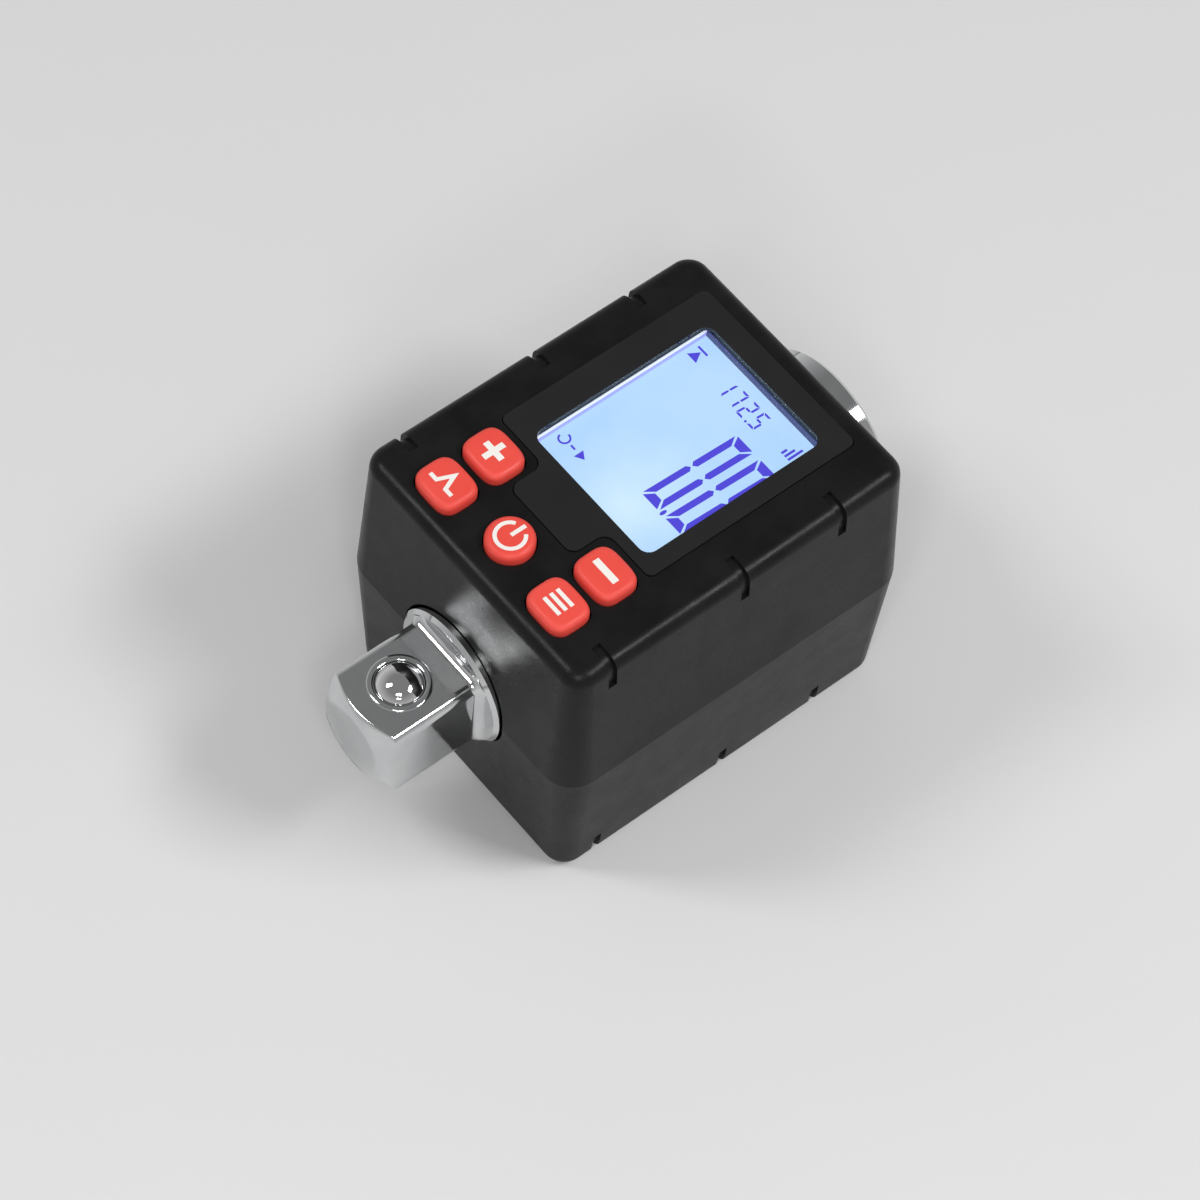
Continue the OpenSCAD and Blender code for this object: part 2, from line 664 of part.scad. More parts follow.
// One forged and turned piece: square, collar, gauge section and socket
module drive_shaft() {
    face_x = -collar_stand;
    cove_bite = 0.03;
    color([0.75, 0.76, 0.78]) in_row() difference() {
        union() {
            intersection() {
                square_bar([tip_x, face_x + rim], drive_size, drive_edge_r);
                cone([tip_x, face_x + rim],
                    [tip_face_d / 2, tip_face_d / 2 + (face_x + rim - tip_x) / tip_run_share]);
            }
            for (a = [0:90:270]) rotate([a, 0, 0]) intersection() {
                difference() {
                    box([face_x - cove_r, face_x + rim / 2], [-flat_half, flat_half],
                        [flat_half - cove_bite, flat_half + cove_r - cove_bite]);
                    translate([face_x - cove_r, drive_size, flat_half + cove_r - cove_bite])
                        rotate([90, 0, 0]) cylinder(h = 2 * drive_size, r = cove_r);
                }
                rod([face_x - cove_r - overrun, face_x + rim], collar_r - rim);
            }
            cone([face_x, face_x + rim], [collar_r - rim, collar_r]);
            rod([face_x + rim, grip_x], collar_r);
            intersection() {
                rod([grip_x, grip_x + grip_len], collar_r);
                square_bar([grip_x - overrun, grip_x + grip_len + overrun], grip_size, drive_edge_r);
            }
            cone([grip_x + grip_len, gauge_x], [grip_size / 2, gauge_r]);
            difference() {
                rod([gauge_x - cone_len / 2, relief_x + cone_len / 2], gauge_r);
                for (a = [0:90:270]) rotate([a, 0, 0])
                    box([gauge_x + cone_len, relief_x - cone_len], [-gauge_r, gauge_r],
                        [gauge_flat, gauge_d]);
            }
            cone([relief_x, body_x], [gauge_r, socket_r]);
            rod([body_x, socket_x - rim], socket_r);
            stake_ring();
            cone([socket_x - rim, socket_x], [socket_r, socket_r - rim]);
        }
        square_bar([socket_x - socket_depth, socket_x + overrun], socket_size, socket_edge_r);
        for (a = [0:90:270]) rotate([a, 0, 0])
            post(socket_x - socket_depth / 2, 0, [0, socket_size / 2 + rim], ball_r * 0.7);
        post(ball_x, 0, [spring_z, lip_z], ball_hole_r);
        post(ball_x, 0, [lip_z - overrun, lip_z + lip_band], lip_r);
        translate([ball_x, 0, lip_z + lip_band])
            cylinder(h = flat_half - lip_z, r1 = lip_r, r2 = stake_r + lip_band);
    }
}

module detent_ball() {
    color([0.85, 0.86, 0.88]) in_row() translate([ball_x, 0, ball_z]) sphere(r = ball_r);
}

// Round wire wound from z0 to z1 at radius r, growing to r2
module coil(z0, z1, r, r2, wire, turns) {
    n = turns * 12;
    m = 6;
    points = [for (i = [0:n], j = [0:m - 1])
        let (a = 360 * turns * i / n, f = i / n, c = r + (r2 - r) * f, w = wire / 2, b = 360 * j / m)
        [(c + w * cos(b)) * cos(a), (c + w * cos(b)) * sin(a), z0 + w + (z1 - z0 - 2 * w) * f + w * sin(b)]];
    sides = [for (i = [0:n - 1], j = [0:m - 1]) each
        let (a = i * m + j, b = i * m + (j + 1) % m) [[a, b + m, b], [a, a + m, b + m]]];
    ends = [[for (j = [0:m - 1]) j], [for (j = [m - 1:-1:0]) n * m + j]];
    polyhedron(points, concat(sides, ends));
}

module detent_spring() {
    color([0.6, 0.6, 0.62]) in_row() translate([ball_x, 0, 0])
        coil(spring_z + seal_gap, ball_seat_z + spring_wire / 2, spring_r, spring_r, spring_wire,
            spring_turns);
}

module strain_gauges() {
    color([0.8, 0.6, 0.25]) in_row() for (a = [0:90:270]) rotate([a, 0, 0])
        box([foil_mid - foil_len / 2, foil_mid + foil_len / 2], [-foil_w / 2, foil_w / 2],
            [gauge_flat, gauge_flat + foil_t]);
}

// Flat lead from the upper gauge to its plug under the board
module gauge_flex() {
    z = gauge_flat + foil_t;
    x = plug_x + plug_len / 2;
    color([0.85, 0.55, 0.15]) in_row() translate([0, flex_w / 2, 0]) rotate([90, 0, 0]) linear_extrude(flex_w)
        polygon([[foil_mid, z], [foil_mid, z + flex_t], [x + flex_t, z + flex_t],
            [x + flex_t, board_base - plug_h], [x, board_base - plug_h], [x, z]]);
}

module ring(x, r0, r1) {
    difference() {
        rod(x, r1);
        rod([x[0] - overrun, x[1] + overrun], r0);
    }
}

module front_seal() {
    color([0.12, 0.12, 0.12]) in_row()
        ring([front_seal_x, front_seal_x + seal_w], collar_r + seal_gap, collar_r + seal_t);
}

module rear_seal() {
    color([0.12, 0.12, 0.12]) in_row()
        ring([rear_seal_x, rear_seal_x + rear_seal_w], socket_r + seal_gap, socket_r + rear_seal_t);
}

module board_screws() {
    color([0.7, 0.7, 0.72]) in_row() for (x = post_x, s = [-1, 1]) {
        post(x, s * post_y, [board_base - small_head_t, board_base], small_head_r);
        post(x, s * post_y, [board_base - seat, board_base + small_screw_len], small_screw_r);
    }
}

module housing_screws() {
    z = -case_base + head_deep;
    color([0.2, 0.2, 0.22]) in_row() for (x = boss_x, s = [-1, 1]) {
        post(x, s * boss_y, [z - head_t, z], head_r);
        post(x, s * boss_y, [z - seat, screw_grip], screw_r);
    }
}

module battery_door() {
    color([0.09, 0.09, 0.1]) in_row() difference() {
        union() {
            slab(rounded(rect([door_x[0], door_x[1]], [-door_half, door_half]), same(door_r)),
                [-case_base, -case_base + door_t / 2 - seal_gap]);
            slab(rounded(rect([door_x[0] + door_ledge + door_gap, door_screw_x - door_boss_r - door_gap],
                [-door_half + door_ledge + door_gap, door_half - door_ledge - door_gap]), same(door_r)),
                [-case_base, -case_base + door_t]);
        }
        post(door_screw_x, 0, [-case_base - overrun, 0], door_screw_r + seat);
        translate([door_screw_x, 0, -case_base])
            cylinder(h = door_head_t, r1 = door_head_r + seat, r2 = door_screw_r + seat);
        for (i = [0:grip_count - 1]) let (x = door_x[0] + grip_inset + grip_pitch * i)
            box([x, x + grip_w], [-grip_half, grip_half], [-case_base - overrun, -case_base + grip_deep]);
    }
}

module door_screw() {
    color([0.2, 0.2, 0.22]) in_row() union() {
        translate([door_screw_x, 0, -case_base])
            cylinder(h = door_head_t, r1 = door_head_r, r2 = door_screw_r);
        post(door_screw_x, 0, [-case_base + door_head_t / 2, -case_base + door_screw_len], door_screw_r);
    }
}

// A cell that lies along x with its button at the front
module cell() {
    rod([0, cell_len], button_r);
    rod([button_len, cell_len], cell_r);
}

module battery_cells() {
    color([0.15, 0.35, 0.6]) in_row() {
        translate([cell_x, cell_y, cell_z]) cell();
        translate([bay_rear - contact_t - seat, -cell_y, cell_z]) rotate([0, 0, 180]) cell();
    }
}

module contact_plates() {
    color([0.8, 0.8, 0.82]) in_row() {
        for (s = [-1, 1])
            box([bay_front, bay_front + contact_t],
                [s * cell_y - plate_size / 2, s * cell_y + plate_size / 2],
                [cell_z - plate_size / 2, cell_z + plate_size / 2]);
        box([bay_rear - contact_t, bay_rear], [-cell_y - plate_size / 2, cell_y + plate_size / 2],
            [cell_z - plate_size / 2, cell_z]);
    }
}

module battery_springs() {
    room = bay_rear - contact_t - cell_x - cell_len;
    color([0.8, 0.8, 0.82]) in_row() {
        translate([cell_x + cell_len, cell_y, cell_z]) rotate([0, 90, 0])
            coil(seal_gap, room - seal_gap, bat_spring_r[0], bat_spring_r[1], bat_spring_wire,
                bat_spring_turns);
        translate([bay_front + contact_t + room, -cell_y, cell_z]) rotate([0, -90, 0])
            coil(seal_gap, room - seal_gap, bat_spring_r[0], bat_spring_r[1], bat_spring_wire,
                bat_spring_turns);
    }
}

module battery_wires() {
    color([0.7, 0.1, 0.1]) in_row() for (s = [-1, 1])
        post(wire_x, s * wire_y, [cell_z + plate_size / 2, board_base], wire_r);
}

upper_housing();
lower_housing();
face_plate();
display_lens();
lcd_glass();
lcd_frame();
backlight();
zebra_strip();
circuit_board();
chips();
buzzer();
flex_connector();
moulded_key(key_row_x[1], key_row_y);  // key_plus
moulded_key(key_row_x[1], -key_row_y);  // key_minus
key_power();
moulded_key(key_row_x[0], -key_row_y);  // key_mode
moulded_key(key_row_x[0], key_row_y);  // key_peak
web(key_row_x[1], key_row_y);  // web_plus
web(key_row_x[1], -key_row_y);  // web_minus
web(power_x, 0);  // web_power
web(key_row_x[0], -key_row_y);  // web_mode
web(key_row_x[0], key_row_y);  // web_peak
keypad_mat();
drive_shaft();
detent_ball();
detent_spring();
strain_gauges();
gauge_flex();
front_seal();
rear_seal();
board_screws();
housing_screws();
battery_door();
door_screw();
battery_cells();
contact_plates();
battery_springs();
battery_wires();
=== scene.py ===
"""Looks of a digital torque adapter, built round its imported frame.

A square drive shaft with a spring ball runs through a black moulded case that carries a lit display and
five red keys. Sizes in this file are in millimetres in the shaft frame of the part: x = 0 at the front
wall of the case and rising towards the socket, z = 0 on the shaft's axis. to_row() moves them to the
row frame in metres.
"""

from __future__ import annotations

import json
import logging
import math
from dataclasses import dataclass, field
from enum import Enum

import bpy
import numpy as np
from mathutils import Matrix

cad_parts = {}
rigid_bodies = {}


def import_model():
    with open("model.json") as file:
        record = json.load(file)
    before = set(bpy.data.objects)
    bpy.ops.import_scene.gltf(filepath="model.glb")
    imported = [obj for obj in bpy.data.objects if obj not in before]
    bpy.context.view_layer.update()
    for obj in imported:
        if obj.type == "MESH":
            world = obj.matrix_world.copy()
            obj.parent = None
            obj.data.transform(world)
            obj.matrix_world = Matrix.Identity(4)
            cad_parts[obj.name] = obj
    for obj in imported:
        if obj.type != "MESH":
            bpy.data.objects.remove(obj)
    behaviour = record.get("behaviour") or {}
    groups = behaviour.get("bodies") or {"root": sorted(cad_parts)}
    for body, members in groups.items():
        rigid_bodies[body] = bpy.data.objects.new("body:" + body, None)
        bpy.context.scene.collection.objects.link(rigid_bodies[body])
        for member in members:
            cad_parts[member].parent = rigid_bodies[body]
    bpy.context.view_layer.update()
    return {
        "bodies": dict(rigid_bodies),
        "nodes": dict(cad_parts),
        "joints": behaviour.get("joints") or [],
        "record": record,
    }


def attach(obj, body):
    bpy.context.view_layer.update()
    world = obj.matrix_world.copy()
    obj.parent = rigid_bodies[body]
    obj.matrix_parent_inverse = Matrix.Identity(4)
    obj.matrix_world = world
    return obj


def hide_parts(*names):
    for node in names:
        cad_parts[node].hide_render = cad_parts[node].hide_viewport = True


LOG = logging.getLogger("torque_adapter")
MM = 0.001
SHAFT_TO_ROW = np.array([-23.0, 0.0, 22.7])


class Body(str, Enum):
    """Bodies of the frame that new pieces ride on."""

    CASE = "case"
    PLUS = "plus_key"
    MINUS = "minus_key"
    POWER = "power_key"
    MODE = "mode_key"
    PEAK = "peak_key"
    BALL = "ball"


class Mark(Enum):
    """Signs printed on the keys."""

    PLUS = "plus"
    MINUS = "minus"
    POWER = "power"
    MENU = "menu"
    PEAK = "peak"


# ---------------------------------------------------------------- shapes


def to_row(points: np.ndarray) -> np.ndarray:
    """Moves points from the shaft frame to the row frame.

    Args:
        points: Any array of points in millimetres, with x, y and z last.

    Returns:
        The points in metres, each shifted by the same step and divided by a thousand.
    """
    return (np.asarray(points, dtype=float) + SHAFT_TO_ROW) * MM


def arc_points(radius: float, start: float, end: float, steps: int) -> np.ndarray:
    """Points on a circle round the origin: radius times cosine and sine of an even run of angles.

    Args:
        radius: Radius of the circle.
        start: First angle in degrees.
        end: Last angle in degrees.
        steps: Number of steps between them.

    Returns:
        Array of steps + 1 points.
    """
    angle = np.radians(np.linspace(start, end, steps + 1))
    return radius * np.stack([np.cos(angle), np.sin(angle)], axis=1)


def ring_faces(rings: int, sides: int) -> np.ndarray:
    """Quads between rings of points that close on themselves, stored one ring after another.

    Args:
        rings: Number of rings.
        sides: Points in each ring.

    Returns:
        Array of four indices a face, wound so that rising rings which run anticlockwise face outwards.
    """
    ring = np.arange(rings - 1)[:, None] * sides
    side = np.arange(sides)[None, :]
    after = (side + 1) % sides
    quads = np.stack([ring + side, ring + after, ring + sides + after, ring + sides + side], axis=-1)
    return quads.reshape(-1, 4)


def stacked_mesh(name: str, rings: np.ndarray, smooth: bool = True) -> bpy.types.Mesh:
    """Closed skin over a stack of rings, with a fan of triangles to a point at each end.

    Args:
        name: Name of the mesh.
        rings: Array of rings by points by three, in the row frame, the rings rising and running
            anticlockwise seen from above.
        smooth: Whether the faces are shaded smooth.

    Returns:
        The new mesh.
    """
    count, sides = rings.shape[:2]
    points = np.concatenate([rings.reshape(-1, 3), rings[:1].mean(axis=1), rings[-1:].mean(axis=1)])
    low, high = count * sides, count * sides + 1
    side = np.arange(sides)
    after = (side + 1) % sides
    last = (count - 1) * sides
    fans = np.concatenate(
        [
            np.stack([np.full(sides, low), after, side], axis=1),
            np.stack([np.full(sides, high), last + side, last + after], axis=1),
        ]
    )
    mesh = bpy.data.meshes.new(name)
    mesh.from_pydata(points.tolist(), [], ring_faces(count, sides).tolist() + fans.tolist())
    mesh.polygons.foreach_set("use_smooth", [smooth] * len(mesh.polygons))
    mesh.update()
    return mesh


def plate_mesh(name: str, outlines: list[np.ndarray], low: float, high: float) -> bpy.types.Mesh:
    """Flat plates, each the prism over one outline.

    Args:
        name: Name of the mesh.
        outlines: Outlines in millimetres in the shaft frame's plan, anticlockwise.
        low: Height of the lower faces.
        high: Height of the upper faces.

    Returns:
        One mesh that holds all the plates.
    """
    points: list[np.ndarray] = []
    faces: list[list[int]] = []
    start = 0
    for outline in outlines:
        count = len(outline)
        for level in (low, high):
            points.append(np.column_stack([outline, np.full(count, level)]))
        faces += (ring_faces(2, count) + start).tolist()
        faces.append(list(range(start + count - 1, start - 1, -1)))
        faces.append(list(range(start + count, start + 2 * count)))
        start += 2 * count
    mesh = bpy.data.meshes.new(name)
    mesh.from_pydata(to_row(np.concatenate(points)).tolist(), [], faces)
    mesh.update()
    return mesh


def anticlockwise(outline: np.ndarray) -> np.ndarray:
    """The outline, turned round if its signed area, half the sum of cross products, is negative."""
    x, y = outline.T
    area = np.sum(x * np.roll(y, -1) - np.roll(x, -1) * y)
    return outline if area > 0 else outline[::-1]


def band(path: np.ndarray, width: float) -> np.ndarray:
    """Outline of a stroke of even width along an open path, with mitred bends.

    Each point moves sideways along the mean of the normals of the two runs that meet there, by half
    the width over the cosine of half the bend.

    Args:
        path: Points of the path.
        width: Width of the stroke.

    Returns:
        Outline of the stroke.
    """
    runs = np.diff(path, axis=0)
    runs /= np.linalg.norm(runs, axis=1, keepdims=True)
    normals = np.column_stack([-runs[:, 1], runs[:, 0]])
    joined = np.concatenate([normals[:1], (normals[:-1] + normals[1:]) / 2, normals[-1:]])
    joined /= np.sum(joined**2, axis=1, keepdims=True)
    return anticlockwise(np.concatenate([path + joined * width / 2, (path - joined * width / 2)[::-1]]))


def signs_in_plan(outlines: list[np.ndarray], x: float, y: float) -> list[np.ndarray]:
    """Turns signs drawn to the right and up so that they read towards -y with their top towards +x.

    Args:
        outlines: Outlines of the signs, to the right and up from their middle.
        x: Place of the middle along the shaft.
        y: Place of the middle across it.

    Returns:
        Outlines in the shaft frame's plan.
    """
    return [anticlockwise(np.column_stack([x + o[:, 1], y - o[:, 0]])) for o in outlines]


def add_piece(
    name: str,
    mesh: bpy.types.Mesh,
    finish: bpy.types.Material,
    body: Body,
    stands_for: tuple[str, ...] = (),
) -> bpy.types.Object:
    """Adds a finished piece to the scene and ties it to its body.

    Args:
        name: Name of the piece.
        mesh: Its mesh, in the row frame.
        finish: Its material.
        body: The body that it rides on.
        stands_for: Solids of the frame that it is shown instead of.

    Returns:
        The new object.
    """
    piece = bpy.data.objects.new(name, mesh)
    bpy.context.scene.collection.objects.link(piece)
    mesh.materials.append(finish)
    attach(piece, body.value)
    if stands_for:
        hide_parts(*stands_for)
    LOG.info("piece %s rides on %s", name, body.value)
    return piece


def cut_round(piece: bpy.types.Object, cutter_mesh: bpy.types.Mesh) -> None:
    """Cuts one mesh out of a piece and keeps the result as the piece's own mesh.

    Args:
        piece: The piece to cut.
        cutter_mesh: What is taken away. It is deleted afterwards.
    """
    cutter = bpy.data.objects.new("cutter", cutter_mesh)
    bpy.context.scene.collection.objects.link(cutter)
    cut = piece.modifiers.new("cut", "BOOLEAN")
    cut.operation, cut.solver, cut.object = "DIFFERENCE", "EXACT", cutter
    shape = piece.evaluated_get(bpy.context.evaluated_depsgraph_get())
    made = bpy.data.meshes.new_from_object(shape)
    piece.modifiers.remove(cut)
    piece.data = made
    bpy.data.objects.remove(cutter)
    bpy.data.meshes.remove(cutter_mesh)


def smooth_piece(piece: bpy.types.Object) -> None:
    """Shades a piece's gentle bends smooth and keeps its flats flat, by two modifiers."""
    joined = piece.modifiers.new("joined_and_smooth", "NODES")
    joined.node_group = smooth_group()
    normals = piece.modifiers.new("even_normals", "WEIGHTED_NORMAL")
    normals.keep_sharp = True


# ---------------------------------------------------------------- node trees


class Wiring:
    """Adds nodes to one node tree and joins them."""

    def __init__(self, tree: bpy.types.NodeTree) -> None:
        """Keeps the tree.

        Args:
            tree: The tree to add to.
        """
        self.tree = tree

    def add(self, kind: str, values: dict[str, object] | None = None, **settings: object) -> bpy.types.Node:
        """Adds a node.

        Args:
            kind: Type of the node.
            values: Values for its input sockets, by name.
            settings: Its own settings.

        Returns:
            The node.
        """
        node = self.tree.nodes.new(kind)
        for key, value in settings.items():
            setattr(node, key, value)
        for key, value in (values or {}).items():
            node.inputs[key].default_value = value
        return node

    def join(self, source: bpy.types.NodeSocket, target: bpy.types.NodeSocket) -> None:
        """Joins an output to an input."""
        self.tree.links.new(source, target)


def node_group(
    name: str, inputs: dict[str, float], outputs: tuple[str, ...]
) -> tuple[Wiring, bpy.types.Node, bpy.types.Node]:
    """Starts a shader node group that works on a point and some numbers.

    Args:
        name: Name of the group.
        inputs: Number inputs and their default values.
        outputs: Names of the number outputs.

    Returns:
        Wiring for the group, its input node and its output node.
    """
    tree = bpy.data.node_groups.new(name, "ShaderNodeTree")
    tree.interface.new_socket("Vector", in_out="INPUT", socket_type="NodeSocketVector")
    for key, value in inputs.items():
        tree.interface.new_socket(key, in_out="INPUT", socket_type="NodeSocketFloat").default_value = value
    for key in outputs:
        tree.interface.new_socket(key, in_out="OUTPUT", socket_type="NodeSocketFloat")
    wiring = Wiring(tree)
    return wiring, wiring.add("NodeGroupInput"), wiring.add("NodeGroupOutput")


def grain_group() -> bpy.types.NodeTree:
    """Fine grain of a spark-eroded mould: small cells softened by noise.

    Returns:
        A group with the height of the grain and a mask of its highest specks.
    """
    name = "mould_grain"
    if name in bpy.data.node_groups:
        return bpy.data.node_groups[name]
    w, start, end = node_group(name, {"Fineness": 4000.0, "Softness": 0.5}, ("Height", "Specks"))
    cells = w.add("ShaderNodeTexVoronoi", {"Randomness": 1.0}, feature="SMOOTH_F1")
    noise = w.add("ShaderNodeTexNoise", {"Detail": 3.0, "Roughness": 0.6})
    both = w.add("ShaderNodeMix", data_type="FLOAT")
    specks = w.add("ShaderNodeMapRange", {"From Min": 0.6, "From Max": 0.78})
    for node in (cells, noise):
        w.join(start.outputs["Vector"], node.inputs["Vector"])
        w.join(start.outputs["Fineness"], node.inputs["Scale"])
    w.join(start.outputs["Softness"], both.inputs["Factor"])
    w.join(cells.outputs["Distance"], both.inputs["A"])
    w.join(noise.outputs["Fac"], both.inputs["B"])
    w.join(both.outputs["Result"], end.inputs["Height"])
    w.join(noise.outputs["Fac"], specks.inputs["Value"])
    w.join(specks.outputs["Result"], end.inputs["Specks"])
    return w.tree


def cloud_group() -> bpy.types.NodeTree:
    """Soft clouds, for the small changes of tone and gloss that handling leaves.

    Returns:
        A group whose value runs between Low and High.
    """
    name = "handling_clouds"
    if name in bpy.data.node_groups:
        return bpy.data.node_groups[name]
    w, start, end = node_group(name, {"Fineness": 120.0, "Low": 0.0, "High": 1.0}, ("Value",))
    noise = w.add("ShaderNodeTexNoise", {"Detail": 4.0, "Roughness": 0.55})
    spread = w.add("ShaderNodeMapRange", {"From Min": 0.35, "From Max": 0.65})
    w.join(start.outputs["Vector"], noise.inputs["Vector"])
    w.join(start.outputs["Fineness"], noise.inputs["Scale"])
    w.join(noise.outputs["Fac"], spread.inputs["Value"])
    w.join(start.outputs["Low"], spread.inputs["To Min"])
    w.join(start.outputs["High"], spread.inputs["To Max"])
    w.join(spread.outputs["Result"], end.inputs["Value"])
    return w.tree


def smooth_group() -> bpy.types.NodeTree:
    """Geometry nodes that join loose triangles and shade every gentle bend smooth.

    Returns:
        The group, for a modifier on a solid of the frame.
    """
    name = "joined_and_smooth"
    if name in bpy.data.node_groups:
        return bpy.data.node_groups[name]
    tree = bpy.data.node_groups.new(name, "GeometryNodeTree")
    tree.interface.new_socket("Geometry", in_out="INPUT", socket_type="NodeSocketGeometry")
    tree.interface.new_socket("Geometry", in_out="OUTPUT", socket_type="NodeSocketGeometry")
    w = Wiring(tree)
    start, end = w.add("NodeGroupInput"), w.add("NodeGroupOutput")
    joined = w.add("GeometryNodeMergeByDistance", {"Distance": 1e-6})
    faces = w.add("GeometryNodeSetShadeSmooth", {"Shade Smooth": True}, domain="FACE")
    edges = w.add("GeometryNodeSetShadeSmooth", domain="EDGE")
    bend = w.add("GeometryNodeInputMeshEdgeAngle")
    gentle = w.add("FunctionNodeCompare", data_type="FLOAT", operation="LESS_EQUAL")
    gentle.inputs["B"].default_value = math.radians(32)
    w.join(start.outputs["Geometry"], joined.inputs["Geometry"])
    w.join(joined.outputs["Geometry"], faces.inputs["Geometry"])
    w.join(faces.outputs["Geometry"], edges.inputs["Geometry"])
    w.join(bend.outputs["Unsigned Angle"], gentle.inputs["A"])
    w.join(gentle.outputs["Result"], edges.inputs["Shade Smooth"])
    w.join(edges.outputs["Geometry"], end.inputs["Geometry"])
    return tree


@dataclass(frozen=True)
class Finish:
    """A finish of one of the adapter's materials, with its grain and its changes of tone.

    Colours are linear. Fineness is in repeats a metre, and grain depth in metres.
    """

    name: str
    colour: tuple[float, float, float]
    worn: tuple[float, float, float]
    rough: tuple[float, float] = (0.4, 0.5)
    metallic: float = 0.0
    specular: float = 0.5
    grain: float = 3000.0
    depth: float = 4e-6
    clouds: float = 120.0
    extra: dict[str, object] = field(default_factory=dict)

    def material(self) -> bpy.types.Material:
        """Builds the material once, under a name that none of the frame's own materials has.

        Returns:
            A Principled material whose colour, roughness and normal come from noise on the piece's
            own coordinates.
        """
        title = f"{self.name}_finish"
        if title in bpy.data.materials:
            return bpy.data.materials[title]
        made = bpy.data.materials.new(title)
        made.use_nodes = True
        w = Wiring(made.node_tree)
        shader = made.node_tree.nodes["Principled BSDF"]
        shader.inputs["Metallic"].default_value = self.metallic
        shader.inputs["Specular IOR Level"].default_value = self.specular
        for key, value in self.extra.items():
            shader.inputs[key].default_value = value
        place = w.add("ShaderNodeTexCoord")
        grain = w.add("ShaderNodeGroup", node_tree=grain_group())
        tone = w.add("ShaderNodeGroup", node_tree=cloud_group())
        gloss = w.add("ShaderNodeGroup", node_tree=cloud_group())
        colour = w.add("ShaderNodeMix", data_type="RGBA")
        bump = w.add("ShaderNodeBump", {"Strength": 1.0, "Distance": self.depth})
        grain.inputs["Fineness"].default_value = self.grain
        tone.inputs["Fineness"].default_value = self.clouds
        gloss.inputs["Fineness"].default_value = self.clouds * 1.7
        gloss.inputs["Low"].default_value = self.rough[0]
        gloss.inputs["High"].default_value = self.rough[1]
        colour.inputs["A"].default_value = (*self.colour, 1)
        colour.inputs["B"].default_value = (*self.worn, 1)
        for node in (grain, tone, gloss):
            w.join(place.outputs["Object"], node.inputs["Vector"])
        w.join(tone.outputs["Value"], colour.inputs["Factor"])
        w.join(colour.outputs["Result"], shader.inputs["Base Color"])
        w.join(gloss.outputs["Value"], shader.inputs["Roughness"])
        w.join(grain.outputs["Height"], bump.inputs["Height"])
        w.join(bump.outputs["Normal"], shader.inputs["Normal"])
        self.add_to(w, shader, place, grain)
        return made

    def add_to(self, w: Wiring, shader: bpy.types.Node, place: bpy.types.Node, grain: bpy.types.Node) -> None:
        """Place for what a special finish adds; a plain one adds nothing."""


@dataclass(frozen=True)
class LitGlass(Finish):
    """The lit display: pale blue light, brighter within reach of its lamp at the front edge."""

    glow: tuple[float, float, float] = (0.44, 0.68, 1.0)
    bright: tuple[float, float, float] = (0.68, 0.88, 1.0)
    strength: float = 1.2
    lamp: tuple[float, float, float] = (0.0005, -0.003, 0.0432)
    reach: float = 0.012

    def add_to(self, w: Wiring, shader: bpy.types.Node, place: bpy.types.Node, grain: bpy.types.Node) -> None:
        """Mixes two blues by clouds and by the distance from the lamp.

        Args:
            w: Wiring of the material.
            shader: Its Principled node.
            place: Its coordinates.
            grain: Its grain node.
        """
        near = w.add("ShaderNodeMapRange", {
            "From Min": 0.0, "From Max": self.reach, "To Min": 0.75, "To Max": 0.0})
        blend = w.add("ShaderNodeMath", operation="ADD")
        clouds = w.add("ShaderNodeGroup", node_tree=cloud_group())
        clouds.inputs["Fineness"].default_value = 60.0
        clouds.inputs["Low"].default_value = -0.12
        clouds.inputs["High"].default_value = 0.18
        length = w.add("ShaderNodeVectorMath", operation="DISTANCE")
        length.inputs[1].default_value = self.lamp
        light = w.add("ShaderNodeMix", data_type="RGBA")
        light.inputs["A"].default_value = (*self.glow, 1)
        light.inputs["B"].default_value = (*self.bright, 1)
        w.join(place.outputs["Object"], clouds.inputs["Vector"])
        w.join(place.outputs["Object"], length.inputs[0])
        w.join(length.outputs["Value"], near.inputs["Value"])
        w.join(near.outputs["Result"], blend.inputs[0])
        w.join(clouds.outputs["Value"], blend.inputs[1])
        w.join(blend.outputs["Value"], light.inputs["Factor"])
        w.join(light.outputs["Result"], shader.inputs["Emission Color"])
        shader.inputs["Emission Strength"].default_value = self.strength


@dataclass(frozen=True)
class SpeckledPlastic(Finish):
    """Satin black plastic whose grain catches light in small bright specks."""

    speck_rough: float = 0.16

    def add_to(self, w: Wiring, shader: bpy.types.Node, place: bpy.types.Node, grain: bpy.types.Node) -> None:
        """Lowers the roughness on the highest specks of the grain.

        Args:
            w: Wiring of the material.
            shader: Its Principled node.
            place: Its coordinates.
            grain: Its grain node.
        """
        base = shader.inputs["Roughness"].links[0].from_socket
        mixed = w.add("ShaderNodeMix", data_type="FLOAT")
        mixed.inputs["B"].default_value = self.speck_rough
        w.join(grain.outputs["Specks"], mixed.inputs["Factor"])
        w.join(base, mixed.inputs["A"])
        w.join(mixed.outputs["Result"], shader.inputs["Roughness"])


